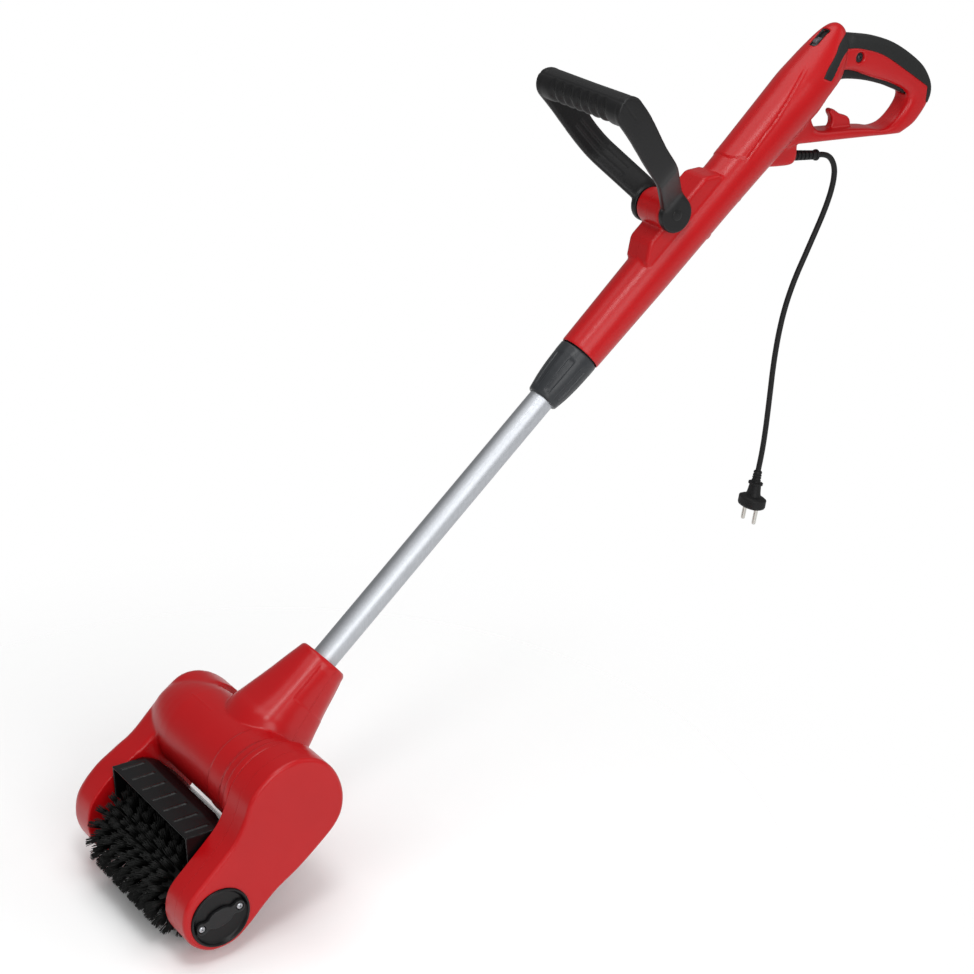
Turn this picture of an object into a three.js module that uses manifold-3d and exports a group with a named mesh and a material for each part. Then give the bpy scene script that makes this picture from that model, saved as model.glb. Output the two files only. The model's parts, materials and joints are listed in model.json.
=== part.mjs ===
// Electric patio cleaner: a motor head with a belt-driven brush roller, a telescopic tube,
// and a two-shell rear housing with a D-handle, a trigger and a tilting front handle.
// Machine frame, in millimetres: x lies along the brush axis (the belt side is +x), y points to the
// underside (the D-handle side), z runs up the shaft, and the brush axis passes near the origin.

import * as THREE from "three";
import { mergeVertices } from "three/addons/utils/BufferGeometryUtils.js";
import Module from "manifold-3d";

const wasm = await Module();
wasm.setup();

// Fits
const touchGap = 0.3;
const seatGap = 0.2;
const runGap = 0.6;
const overrun = 5;

// Working pose: the shaft's slope over the ground, in degrees
const shaftSlope = 39.4;

// Shaft tube
const tubeRadius = 14;
const tubeWall = 1.2;
const tubeShown = 355;
const tubeReach = 80.3;
const tubeSides = 20;

// Neck of the head
const neckTop = 262;
const neckSocketDepth = 57;
const neckRimRadius = 27.5;
const neckRimHeight = 5;
const neckEdge = 1.6;
const neckUpperRadius = 30;
const neckUpperHeight = 240;
const neckMidRadius = 37;
const neckMidHeight = 200;
const neckRootRadius = 45.5;
const neckRootHeight = 168;
const leadHoleRadius = 7;

// Brush roller
const brushAxisY = 5;
const brushRadius = 53;
const rollerLength = 142;
const coreRadius = 24;
const backingRadius = 30;
const hexRadius = 9;
const strandRadius = 1.5;
const strandTipRadius = 0.9;
const strandRoot = 2;
const strandRows = 5;
const strandsAround = 16;
const sliceCount = 4;
const endPlateRadius = 33;
const endPlateThickness = 3;

// Axle and ball bearings
const axleRadius = 4;
const bearingRadius = 11;
const bearingWidth = 7;
const bearingBossWall = 4;

// Motor
const motorAxisY = -8;
const motorAxisZ = 125;
const motorCaseRadius = 48;
const motorCaseWall = 4.5;
const flangeRadii = [51.5, 55];
const flangeWidths = [10, 13];
const fieldWall = 11;
const fieldLength = 64;
const airGap = 0.8;
const rotorLength = 56;
const commutatorRadius = 13;
const commutatorLength = 18;
const carbonWidth = 7;
const carbonLength = 14;
const fanRadius = 35;
const fanHubRadius = 11;
const fanBladeThickness = 2;
const fanDiscThickness = 2;
const fanWidth = 12;
const fanBlades = 7;
const bracketThickness = 9;
const ventCount = 5;
const ventWidth = 3;
const ventPitch = 8;
const ventHeight = 30;

// Fork arms, with their outlines as [y, z] points
const rollerClearance = 13;
const armInner = rollerLength / 2 + rollerClearance;
const armThickness = 40;
const armWall = 3;
const farRound = 12;
const driveRound = 3;
const caseDepth = 20;
const capSeatRadius = 36;
const farArmPoints = [
  [5, -38], [-17, -34], [-34, -21], [-44, -4], [-47.5, 24], [-44, 50], [-40, 75], [-41.5, 105],
  [-42.5, 134], [-38, 156], [-21, 172], [8, 178.5], [30, 170], [43, 150], [46, 120], [44, 80],
  [43, 30], [40, -4], [26, -28],
];
const driveArmPoints = [
  [7, -38.5], [-11, -36], [-27, -25], [-37, -8], [-39, 20], [-40, 45], [-42, 66], [-50, 87],
  [-60, 106], [-63, 126], [-59, 148], [-46, 168], [-26, 180], [-2, 181.5], [22, 173], [39, 158],
  [46.5, 140], [47.4, 115], [46, 84], [42, 55], [42, 35], [43.5, 10], [41, -12], [27, -31],
];

// Belt drive
const drivePulleyRadius = 10;
const drivenPulleyRadius = 30;
const beltWidth = 12;
const beltThickness = 2.2;
const pulleyLip = 1.6;
const pulleySetback = 12;
const pulleyStart = armInner + pulleySetback;
const ribDepth = 0.9;
const pulleyRibs = 3;
const beltSteps = 14;

// Axle cap
const capRadius = 32.5;
const capRim = 2.2;
const capDish = 3.2;
const capProud = 2.2;
const capSeat = 3;
const capBarHalf = 22;
const capBarRadius = 8.5;
const capBarWaist = 5;
const capBarTurn = 24.7;

// Splash guard
const guardRadius = 70;
const guardCornerRadius = 75;
const guardSheet = 2.5;
const guardArmGap = 3;
const guardHalfLength = armInner - guardArmGap;
const guardCornerTurn = 32;
const guardFrontTurn = 20;
const guardRearTurn = -58;
const guardLip = [-58, 37];
const guardSkirtLevel = 15;
const guardSkirtFront = -30;
const guardRibCount = 5;
const guardRibThickness = 1.6;
const guardRibHeight = 1.2;
const guardRibShares = [0.12, 0.88, 0.8, 0.2];
const guardScrewPlace = [-18, 52];
const guardBossRadius = 6;

// Screws
const screwShank = 1.8;
const screwHead = 3.6;
const screwHeadHeight = 2.4;
const screwLength = 14;
const screwPocket = 5;

// Twist collar and collet
const collarStart = neckTop + tubeShown;
const collarLength = 61;
const collarLowRadius = 17.8;
const collarTopRadius = 22.8;
const collarLipDepth = 9;
const collarBoreRadius = 17.2;
const fluteCount = 8;
const fluteRadius = 2.2;
const fluteSink = 1.1;
const fluteSides = 5;
const colletRadius = 16.6;
const colletLead = 1;
const colletFlangeRadius = 20;
const colletLength = 40;
const colletFlange = 22;
const colletSlotWidth = 2;
const colletSlotDepth = 26;
const colletSlotTurns = [0, 90];

// Rear housing
const collarGap = 2;
const housingStart = collarStart + collarLength + collarGap;
const humpSetback = 114;
const humpStart = housingStart + humpSetback;
const humpLength = 126;
const handleGap = 96;
const handleFoot = humpStart + humpLength + handleGap;
const barrelRadii = [23.5, 25.5, 26.2, 27.2, 29.3, 30.6];
const barrelSteps = [0, 110, 258, 262];
const chamberSteps = [14, 52];
const domeRadii = [29, 22.5, 15, 8];
const domeSteps = [74, 99, 113, 121];
const domeLeans = [0.5, 6, 11.5, 14.5];
const domeRise = 124;
const domeSlice = 2;
const barrelBore = 21.8;
const boreShort = 2;
const shellWall = 3;
const splitGap = 0.3;
const guideLength = 24;
const guideFlange = 6;
const guideHoleRadius = 5;

// D-handle, as an outline in reach (y) and rise (z)
const handleReach = 151;
const handleRise = 178;
const handleHalfWidth = 15;
const handleRound = 7;
const hookHalfWidth = 5;
const backShares = [
  [0, 0.708], [0.219, 0.854], [0.411, 0.938], [0.662, 1], [0.808, 1.003],
  [0.914, 0.972], [0.974, 0.899], [1, 0.792], [0.998, 0.72], [0.957, 0.612],
];
const strutShares = [[0.232, -0.019], [0.185, -0.09], [0, -0.09]];
const loopShares = [
  [0.318, 0.169], [0.205, 0.174], [0.126, 0.23], [0.093, 0.303], [0.093, 0.382], [0.119, 0.455],
  [0.166, 0.522], [0.245, 0.579], [0.384, 0.652], [0.563, 0.742], [0.728, 0.803], [0.801, 0.792],
  [0.834, 0.719], [0.834, 0.607], [0.781, 0.522], [0.689, 0.461], [0.556, 0.36], [0.437, 0.258],
];
const hookShares = [
  [0.411, 0.213], [0.404, 0.264], [0.325, 0.303], [0.331, 0.337],
  [0.424, 0.36], [0.483, 0.399], [0.583, 0.393], [0.609, 0.36],
];
const bandShares = [
  [-0.06, 0.331], [0.008, 0.36], [-0.009, 0.427], [-0.021, 0.49], [-0.02, 0.56], [0.045, 0.629],
  [0.139, 0.702], [0.318, 0.792], [0.57, 0.865], [0.854, 0.938], [0.934, 0.876], [1.06, 0.899],
  [1.06, 1.09], [0.1, 1.09], [0.02, 0.75], [-0.053, 0.697], [-0.093, 0.64], [-0.106, 0.567],
  [-0.093, 0.511],
  [-0.086, 0.449], [-0.079, 0.388],
];
const coreCentreShares = [0.42, 0.3];
const bandDepth = 2.4;
const bandProud = 0.5;
const outlineSteps = 15;
const loopSteps = 20;

// Grip frame: u runs along the grip from the trigger's front end, v from the loop to the back
const gripShares = [0.225, 0.539];
const gripTurn = 30;
const gripCentreShares = [0.44, 0.8];

// Trigger with its moulded stub axles, and the switch in the room behind it
const triggerHalfWidth = 6;
const triggerRound = 1;
const triggerShares = [
  [0.132, 0.438], [0.172, 0.494], [0.245, 0.545], [0.404, 0.632], [0.576, 0.722], [0.728, 0.787],
  [0.781, 0.809], [0.79, 0.85], [0.74, 0.885], [0.649, 0.831], [0.397, 0.713], [0.199, 0.607],
  [0.093, 0.494],
];
const triggerPull = 4;
const triggerAxleShares = [0.745, 0.84];
const triggerAxleRadius = 2;
const gripRoomSpan = [8, 76];
const gripRoomDepth = [16, 38];
const gripRoomHalfWidth = 9.5;
const switchSpan = [18, 40];
const switchDepth = [22, 33];
const switchHalfWidth = 5;
const plungerPlace = 30;
const plungerRadius = 1.8;
const plungerLength = 3.3;

// Lock slide on the housing's back
const slotRise = 83;
const slotLength = 24;
const slotHalfWidth = 4.5;
const slotDepth = 5;
const lockLength = 13;
const lockBase = 1.5;
const lockKnob = 3.6;

// Capacitor in the upper chamber
const chamberRadius = 21;
const chamberRise = 82;
const capacitorRadius = 8;
const capacitorLength = 28;
const capacitorDrop = 30;

// Housing screws: places on the y-z plane
const handleScrewShares = [0.162, 0.652];
const loopEndScrewShares = [0.92, 0.84];
const bossSteps = [192, 245];
const bossRadius = 5;
const bossPocket = 3.9;
const seenPocketExtra = 1;
const bossHalfWidth = 9;

// Hump and front handle
const humpHalfWidth = 18.5;
const humpSlopes = [18, 14];
const humpRise = 38;
const humpRound = 4;
const pivotY = -43;
const pivotRise = 57;
const pivotRadius = 20;
const earRadius = 19.5;
const strapThickness = 8;
const strapHalfWidth = 15;
const gripLine = -210;
const gripRise = 10;
const gripRadius = 16;
const gripHalfSpan = 66;
const strapPath = [
  [-43, 23.5], [-52, 23.5], [-60, 24.8], [-70, 29], [-128, 54.5], [-150, 59.5], [-178, 64.5],
  [-203, 66.5],
];
const strapRise = 5.5;
const strapSteps = 12;
const grooveCount = 7;
const groovePitch = 14;
const grooveRadius = 7;
const grooveSink = 3.4;
const knuckleShare = 0.93;
const boltRadius = 3;
const boltHead = 6;
const boltHeadHeight = 1.8;

// Cable outlet
const bossShares = [
  [0.1, -0.27], [0.179, -0.247], [0.325, -0.124], [0.344, -0.073], [0.311, -0.034], [0.238, 0.011],
  [0.1, 0.011],
];
const outletHalfWidth = 11;
const outletRound = 4;
const outletReach = 44;
const outletDrop = 15;
const outletTurn = 42;
const reliefRadius = 5.6;
const reliefTipRadius = 4.9;
const reliefLength = 56;
const reliefEndRadius = 6.2;
const reliefEndWidth = 2.5;
const reliefInside = 9;
const reliefFlange = 8;
const reliefFlangeWidth = 2.5;
const reliefRings = 2;
const reliefGroove = 0.6;

// Cord and plug
const cordDiameter = 6.4;
const cordSides = 10;
const cordStep = 15;
const cordRoute = [
  [0, 0], [9.9, -1.5], [18, -5], [24, -11.5], [27.5, -20], [28, -30], [26, -42], [21.5, -56],
  [15.5, -70], [8.5, -84], [0, -100], [-9, -117], [-18.5, -135], [-27, -154], [-34, -174],
  [-39.5, -196], [-43.5, -219], [-46.5, -244], [-48.5, -269], [-50.5, -294], [-52.8, -319],
  [-56, -344], [-60.5, -368],
];
const plugLength = 44;
const plugFaceRadius = 17.5;
const plugNeckRadius = 5;
const plugFlatShare = 0.78;
const plugFaceDepth = 9;
const plugWaistShares = [[0.33, 0.35], [0.5, 0.62], [0.8, 0.92]];
const plugEdge = 1;
const pinRadius = 2.4;
const pinLength = 19;
const pinHalfPitch = 9.5;

// Numbers of facets
const screwSides = 6;
const hexSides = 6;
const smallSides = 8;
const reliefSides = 12;
const midSides = 16;
const bigSides = 24;
const armSteps = 8;
const waistSteps = 4;
const bevelSteps = 2;

// Materials
const finish = (color, roughness, metalness = 0) =>
  new THREE.MeshStandardMaterial({ color, roughness, metalness });
const materials = {
  red: finish(0xbc2426, 0.35),
  black: finish(0x2d2d2f, 0.6),
  grey: finish(0x414348, 0.55),
  rubber: finish(0x1c1c1e, 0.8),
  bristle: finish(0x161a16, 0.7),
  aluminium: finish(0xc8cdd4, 0.35, 0.9),
  steel: finish(0xb4b6ba, 0.35, 1),
  brass: finish(0xc9a04c, 0.35, 1),
  copper: finish(0xb06a3c, 0.4, 1),
  white: finish(0xd9d7d0, 0.6),
};

// A closed geometry as a solid whose faces point out.
function solid(geometry) {
  const bare = geometry.index ? geometry.toNonIndexed() : geometry.clone();
  bare.deleteAttribute("normal");
  bare.deleteAttribute("uv");
  const merged = mergeVertices(bare, 1e-3);
  const index = merged.index.array;
  const kept = [];
  for (let i = 0; i < index.length; i += 3) {
    const [a, b, c] = [index[i], index[i + 1], index[i + 2]];
    if (a !== b && b !== c && c !== a) kept.push(a, b, c);
  }
  const build = (triangles) =>
    new wasm.Manifold(
      new wasm.Mesh({
        numProp: 3,
        vertProperties: new Float32Array(merged.attributes.position.array),
        triVerts: new Uint32Array(triangles),
      }),
    );
  const made = build(kept);
  if (made.volume() > 0) return made;
  const turned = [];
  for (let i = 0; i < kept.length; i += 3) turned.push(kept[i], kept[i + 2], kept[i + 1]);
  return build(turned);
}

// A solid as a named mesh.
function piece(name, made, material) {
  const mesh = made.getMesh();
  const stride = mesh.numProp;
  const places = new Float32Array(mesh.numVert * 3);
  for (let i = 0; i < mesh.numVert; i += 1) {
    places.set(mesh.vertProperties.subarray(i * stride, i * stride + 3), i * 3);
  }
  const geometry = new THREE.BufferGeometry();
  geometry.setAttribute("position", new THREE.BufferAttribute(places, 3));
  geometry.setIndex(new THREE.BufferAttribute(mesh.triVerts, 1));
  const flat = geometry.toNonIndexed();
  flat.computeVertexNormals();
  const named = new THREE.Mesh(flat, material.clone());
  named.name = name;
  return named;
}

// Round bars along z, x and y, and a box between two corners.
function barZ(radius, from, to, x = 0, y = 0, sides = midSides) {
  const made = new THREE.CylinderGeometry(radius, radius, to - from, sides);
  return solid(made.rotateX(Math.PI / 2).translate(x, y, (from + to) / 2));
}
function barX(radius, from, to, y, z, sides = midSides) {
  const made = new THREE.CylinderGeometry(radius, radius, to - from, sides);
  return solid(made.rotateZ(Math.PI / 2).translate((from + to) / 2, y, z));
}
function barY(radius, from, to, x, z, sides = midSides) {
  const made = new THREE.CylinderGeometry(radius, radius, to - from, sides);
  return solid(made.translate(x, (from + to) / 2, z));
}
function block(x, y, z) {
  const made = new THREE.BoxGeometry(x[1] - x[0], y[1] - y[0], z[1] - z[0]);
  return solid(made.translate((x[0] + x[1]) / 2, (y[0] + y[1]) / 2, (z[0] + z[1]) / 2));
}

// An outline with each point moved inwards by a depth. Its points run clockwise as seen from +x.
function inset(points, depth) {
  const count = points.length;
  return points.map(([y, z], i) => {
    const before = points[(i + count - 1) % count];
    const after = points[(i + 1) % count];
    const span = Math.hypot(after[0] - before[0], after[1] - before[1]);
    return [
      y + (depth * (after[1] - before[1])) / span, z - (depth * (after[0] - before[0])) / span];
  });
}

// A closed profile of [radius, height] points turned about z.
function turned(profile, sides = midSides) {
  const points = profile.map(([radius, height]) => new THREE.Vector2(radius, height));
  const open = profile[0][0] === 0 && profile[profile.length - 1][0] === 0;
  if (!open) points.push(points[0].clone());
  return solid(new THREE.LatheGeometry(points, sides).rotateX(Math.PI / 2));
}
// The same, about an axis along x through a place on the y-z plane.
function turnedX(profile, y, z, sides = midSides) {
  const made = turned(profile, sides);
  return made.rotate([0, 90, 0]).translate([0, y, z]);
}

// An outline on the y-z plane carried along x, with an optional rounded edge.
const acrossMatrix = new THREE.Matrix4().makeBasis(
  new THREE.Vector3(0, 1, 0),
  new THREE.Vector3(0, 0, 1),
  new THREE.Vector3(1, 0, 0),
);
function slab(outline, from, to, round = 0) {
  const shape = new THREE.Shape(outline.map(([y, z]) => new THREE.Vector2(y, z)));
  const made = new THREE.ExtrudeGeometry(shape, {
    depth: to - from - 2 * round,
    bevelEnabled: round > 0,
    bevelSize: round,
    bevelThickness: round,
    bevelOffset: -round,
    bevelSegments: bevelSteps,
    steps: 1,
  });
  return solid(made.translate(0, 0, from + round).applyMatrix4(acrossMatrix));
}

// Points of a smooth curve through the given ones.
function smooth(points, steps, closed = false) {
  const curve = new THREE.CatmullRomCurve3(
    points.map(([y, z]) => new THREE.Vector3(y, z, 0)), closed, "centripetal");
  const made = curve.getPoints(steps).map((p) => [p.x, p.y]);
  if (closed) made.pop();
  return made;
}

// The outline round two circles and their tangents, as for a belt or a fork arm.
function loopRound(first, firstRadius, second, secondRadius, steps = armSteps) {
  const span = Math.hypot(second[0] - first[0], second[1] - first[1]);
  const heading = Math.atan2(second[1] - first[1], second[0] - first[0]);
  const lean = Math.acos((firstRadius - secondRadius) / span);
  const points = [];
  for (let i = 0; i <= steps; i += 1) {
    const turn = heading + lean + ((2 * Math.PI - 2 * lean) * i) / steps;
    points.push([
      first[0] + firstRadius * Math.cos(turn), first[1] + firstRadius * Math.sin(turn)]);
  }
  for (let i = 0; i <= steps; i += 1) {
    const turn = heading - lean + (2 * lean * i) / steps;
    points.push([
      second[0] + secondRadius * Math.cos(turn), second[1] + secondRadius * Math.sin(turn)]);
  }
  return points;
}

// A place on the handle's outline from its shares of reach and rise.
const onHandle = ([y, z]) => [y * handleReach, handleFoot + z * handleRise];
// A place on the y-z plane from its u and v in the grip frame.
const gripAngle = (gripTurn * Math.PI) / 180;
function onGrip([u, v]) {
  const [y, z] = onHandle(gripShares);
  return [
    y + u * Math.cos(gripAngle) - v * Math.sin(gripAngle),
    z + u * Math.sin(gripAngle) + v * Math.cos(gripAngle),
  ];
}
const barrelHeights = [
  ...barrelSteps.map((step) => housingStart + step), ...chamberSteps.map((step) => handleFoot + step)];
const domeHeights = domeSteps.map((step) => handleFoot + step);
const domeTop = handleFoot + domeRise;
const barrelBoreTop = handleFoot - boreShort;
const chamberTop = handleFoot + chamberRise;
const capacitorStart = chamberTop - capacitorDrop - capacitorLength;
const slotStart = handleFoot + slotRise;
const bossHeights = bossSteps.map((step) => housingStart + step);
const humpEnd = humpStart + humpLength;
const humpHeights = [humpStart, humpStart + humpSlopes[0], humpEnd - humpSlopes[1], humpEnd];
const pivotZ = humpStart + pivotRise;
const outletPlace = [outletReach, handleFoot - outletDrop];
const brushAxis = [brushAxisY, 0];
const motorAxis = [motorAxisY, motorAxisZ];
const armOuter = armInner + armThickness;
const farArmOutline = farArmPoints;
const driveArmOutline = driveArmPoints;
const far = armOuter + overrun;
const reachAll = 2 * (domeTop + overrun);

// Screw with a pan head. Its head faces +z and its shank runs down from the seat at the origin.
function screw(length = screwLength) {
  return turned([
    [0, -length], [screwShank, -length + screwShank], [screwShank, 0], [screwHead, 0],
    [screwHead, screwHeadHeight / 2], [0, screwHeadHeight],
  ], screwSides);
}
// The hole that such a screw needs: a shank bore below its seat and a pocket above it.
function screwHole(length, pocketDepth, pocketRadius = screwPocket) {
  const bore = barZ(screwShank + seatGap, -length - seatGap, touchGap, 0, 0, screwSides);
  const pocket = barZ(pocketRadius, -touchGap, pocketDepth, 0, 0, smallSides);
  return bore.add(pocket);
}
const facingX = (made, x, y, z, side) => made.rotate([0, side * 90, 0]).translate([x, y, z]);

const shaftGroup = new THREE.Group();
const add = (...pieces) => shaftGroup.add(...pieces);

// Shaft tube and the guide bush that closes its upper end
const tubeStart = neckTop - neckSocketDepth + touchGap;
const tubeEnd = housingStart + tubeReach;
const tubeInner = tubeRadius - tubeWall;
function makeTube() {
  return turned([
    [tubeInner, tubeStart], [tubeRadius, tubeStart], [tubeRadius, tubeEnd], [tubeInner, tubeEnd],
  ], tubeSides);
}
function makeTubeGuide() {
  const spigot = tubeInner - touchGap;
  const flangeStart = tubeEnd + touchGap;
  const outer = barrelBore - runGap;
  return turned([
    [guideHoleRadius, flangeStart - guideLength / 2], [spigot, flangeStart - guideLength / 2],
    [spigot, flangeStart], [outer, flangeStart], [outer, flangeStart + guideFlange],
    [spigot, flangeStart + guideLength / 2], [guideHoleRadius, flangeStart + guideLength / 2],
  ], tubeSides);
}

// Head: two shells, split on the plane y = 0, that hold the tube, the motor and the far bearing.
const headEnd = armInner - touchGap;
const motorBore = motorCaseRadius - motorCaseWall;
const headScrewX = 24;
const headScrewZ = 196;
const headScrewSeat = 16;
function headForm() {
  const neck = turned([
    [0, motorAxisZ], [neckRootRadius, motorAxisZ], [neckRootRadius, neckRootHeight],
    [neckMidRadius, neckMidHeight], [neckUpperRadius, neckUpperHeight],
    [neckRimRadius, neckTop - neckRimHeight], [neckRimRadius - neckEdge, neckTop], [0, neckTop],
  ], bigSides);
  const motor = turnedX([
    [0, -armInner - 2 * farRound], [motorCaseRadius - farRound, -armInner - 2 * farRound],
    [motorCaseRadius - armWall, -armInner - farRound], [motorCaseRadius, -armInner],
    [motorCaseRadius, headEnd], [0, headEnd],
  ], ...motorAxis, bigSides);
  const rings = flangeRadii.map((radius, i) =>
    barX(radius, headEnd - flangeWidths[1 - i], headEnd, ...motorAxis, bigSides));
  const arm = slab(farArmOutline, -armOuter, -armInner + farRound, farRound)
    .subtract(block([-armInner, 0], [-far, far], [-far, neckTop]));
  return neck.add(motor).add(arm).add(rings[0]).add(rings[1]);
}
function headCuts() {
  const bore = barX(motorBore, -armInner + armWall, headEnd + overrun, ...motorAxis, bigSides);
  const socket = barZ(tubeRadius + seatGap, tubeStart - touchGap, neckTop + overrun, 0, 0, tubeSides);
  const lead = barZ(leadHoleRadius, motorAxisZ, tubeStart, 0, 0, smallSides);
  const armRoom = slab(inset(farArmOutline, farRound / 2),
    -armOuter + armWall, -armInner - armWall, farRound - armWall)
    .subtract(block([-far, 0], [-far, far], [-far, bearingRadius + 2 * bearingBossWall]));
  const seat = barX(bearingRadius + seatGap, -armInner - bearingWidth - armWall - touchGap,
    -armInner + overrun, ...brushAxis);
  const tail = barX(bearingRadius / 2 + seatGap, -armOuter + 2 * armWall, -armInner, ...brushAxis);
  let cuts = bore.add(socket).add(lead).add(armRoom).add(seat).add(tail);
  for (const side of [-1, 1]) {
    const hole = screwHole(2 * screwLength, neckRootRadius);
    cuts = cuts.add(hole.rotate([-90, 0, 0]).translate([
      side * headScrewX, headScrewSeat, headScrewZ]));
  }
  cuts = cuts.add(guardScrewBore(-1));
  for (let i = 0; i < ventCount; i += 1) {
    const x = (i - (ventCount - 1) / 2) * ventPitch;
    cuts = cuts.add(block(
      [x - ventWidth / 2, x + ventWidth / 2], [0, 2 * motorCaseRadius],
      [motorAxisZ - ventHeight / 2, motorAxisZ + ventHeight / 2]));
  }
  return cuts;
}
const guardScrewSeat = guardHalfLength - guardSheet - touchGap;
const guardScrewBore = (side) => facingX(
  barZ(screwShank + seatGap, guardScrewSeat, armInner + armWall - touchGap), 0,
  guardScrewPlace[0], guardScrewPlace[1], side);
function makeHead() {
  const form = headForm().subtract(headCuts());
  const front = form.intersect(block([-far, far], [-far, -splitGap / 2], [-far, neckTop + far]));
  const rear = form.intersect(block([-far, far], [splitGap / 2, far], [-far, neckTop + far]));
  add(piece("head_shell_front", front, materials.red));
  add(piece("head_shell_rear", rear, materials.red));
  for (const [name, side] of [["head_screw_left", -1], ["head_screw_right", 1]]) {
    const made = screw(2 * screwLength).rotate([-90, 0, 0]).translate([
      side * headScrewX, headScrewSeat, headScrewZ]);
    add(piece(name, made, materials.steel));
  }
}

// Drive arm: an inner case bolted to the head and a belt cover over it, with a round cap.
const caseEnd = armInner + caseDepth;
const coverStart = caseEnd + touchGap;
const armForm = (from, to, shrink = 0) => slab(inset(driveArmOutline, shrink), from, to);
const capFace = armOuter - capSeat;
const armScrewPlaces = [[-38, 82], [32, 82], [-8, 172]];
const armScrewSeat = armInner + armWall;
const armScrewReach = 28;
const armBossRadius = 6.5;
function driveArmRooms(from, to) {
  let room = armForm(from, to, armWall);
  for (const [y, z] of armScrewPlaces) {
    room = room.subtract(barX(armBossRadius, from - overrun, to + overrun, y, z, smallSides));
  }
  return room;
}
function makeDriveArm() {
  const bearingEnd = armInner + armWall + bearingWidth - touchGap;
  const boss = bearingRadius + bearingBossWall;
  let inner = armForm(armInner, caseEnd);
  inner = inner.subtract(driveArmRooms(armInner + armWall, caseEnd + overrun));
  for (const [y, z] of [brushAxis, motorAxis]) {
    inner = inner.add(barX(boss, armInner + armWall / 2, bearingEnd, y, z));
    inner = inner.subtract(barX(
      bearingRadius + seatGap, armInner + armWall / 2, bearingEnd + overrun, y, z));
    inner = inner.subtract(barX(bearingRadius / 2 + seatGap, 0, far, y, z));
  }
  inner = inner.subtract(guardScrewBore(1));
  const hole = () => facingX(
    screwHole(armScrewReach, 2 * overrun, bossPocket), armScrewSeat, 0, 0, -1);
  for (const [y, z] of armScrewPlaces) inner = inner.subtract(hole().translate([0, y, z]));
  add(piece("drive_arm_case", inner, materials.red));

  let cover = slab(driveArmOutline, coverStart - driveRound, armOuter, driveRound)
    .subtract(block([0, coverStart], [-far, far], [-far, neckTop]));
  cover = cover.subtract(driveArmRooms(coverStart - overrun, armOuter - armWall));
  cover = cover.add(barX(capSeatRadius, capFace - armWall, armOuter - armWall / 2,
    ...brushAxis, bigSides));
  cover = cover.subtract(barX(capRadius + touchGap, capFace, far, ...brushAxis, bigSides));
  for (const [y, z] of armScrewPlaces) cover = cover.subtract(hole().translate([0, y, z]));
  for (const side of [-1, 1]) {
    cover = cover.subtract(capScrewHole(side));
  }
  add(piece("belt_cover", cover, materials.red));
  armScrewPlaces.forEach(([y, z], i) => {
    const made = facingX(screw(armScrewReach), armScrewSeat, y, z, -1);
    add(piece(`arm_screw_${i + 1}`, made, materials.steel));
  });
}

// Axle cap: a dished disc with a raised bar that two screws hold
const capBase = capFace + touchGap;
const capDishFace = armOuter + capProud - capDish;
const capBarFace = armOuter + capProud;
const capTurn = (capBarTurn * Math.PI) / 180;
const capScrewPlace = (side) => [
  brushAxisY + side * capBarHalf * Math.sin(capTurn), side * capBarHalf * Math.cos(capTurn)];
const capScrewSeat = capBarFace - screwHeadHeight;
const capScrewLength = capSeat + armWall;
function capScrewHole(side) {
  return facingX(screwHole(capScrewLength, screwHeadHeight + overrun, screwHead + touchGap),
    capScrewSeat, ...capScrewPlace(side), 1);
}
function makeCap() {
  const rim = capRadius - capRim;
  let cap = turnedX([
    [0, capBase], [capRadius, capBase], [capRadius, armOuter + capProud / 2],
    [capRadius - capRim / 2, armOuter + capProud], [rim, armOuter + capProud],
    [rim - capRim, capDishFace], [0, capDishFace],
  ], ...brushAxis, bigSides);
  const ends = [-1, 1].map(capScrewPlace);
  const waist = loopRound(ends[0], capBarWaist, ends[1], capBarWaist, waistSteps);
  let bar = slab(waist, capBase + capRim / 2, capBarFace);
  for (const end of ends) {
    bar = bar.add(barX(capBarWaist + seatGap, capBase + capRim / 2, capBarFace, ...end, midSides));
  }
  bar = bar.add(barX(capBarRadius, capBase + capRim / 2, capBarFace, ...brushAxis, midSides));
  cap = cap.add(bar);
  for (const side of [-1, 1]) cap = cap.subtract(capScrewHole(side));
  add(piece("axle_cap", cap, materials.black));
  [-1, 1].forEach((side, i) => {
    const made = facingX(screw(capScrewLength), capScrewSeat, ...capScrewPlace(side), 1);
    add(piece(`cap_screw_${i + 1}`, made, materials.steel));
  });
}

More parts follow.
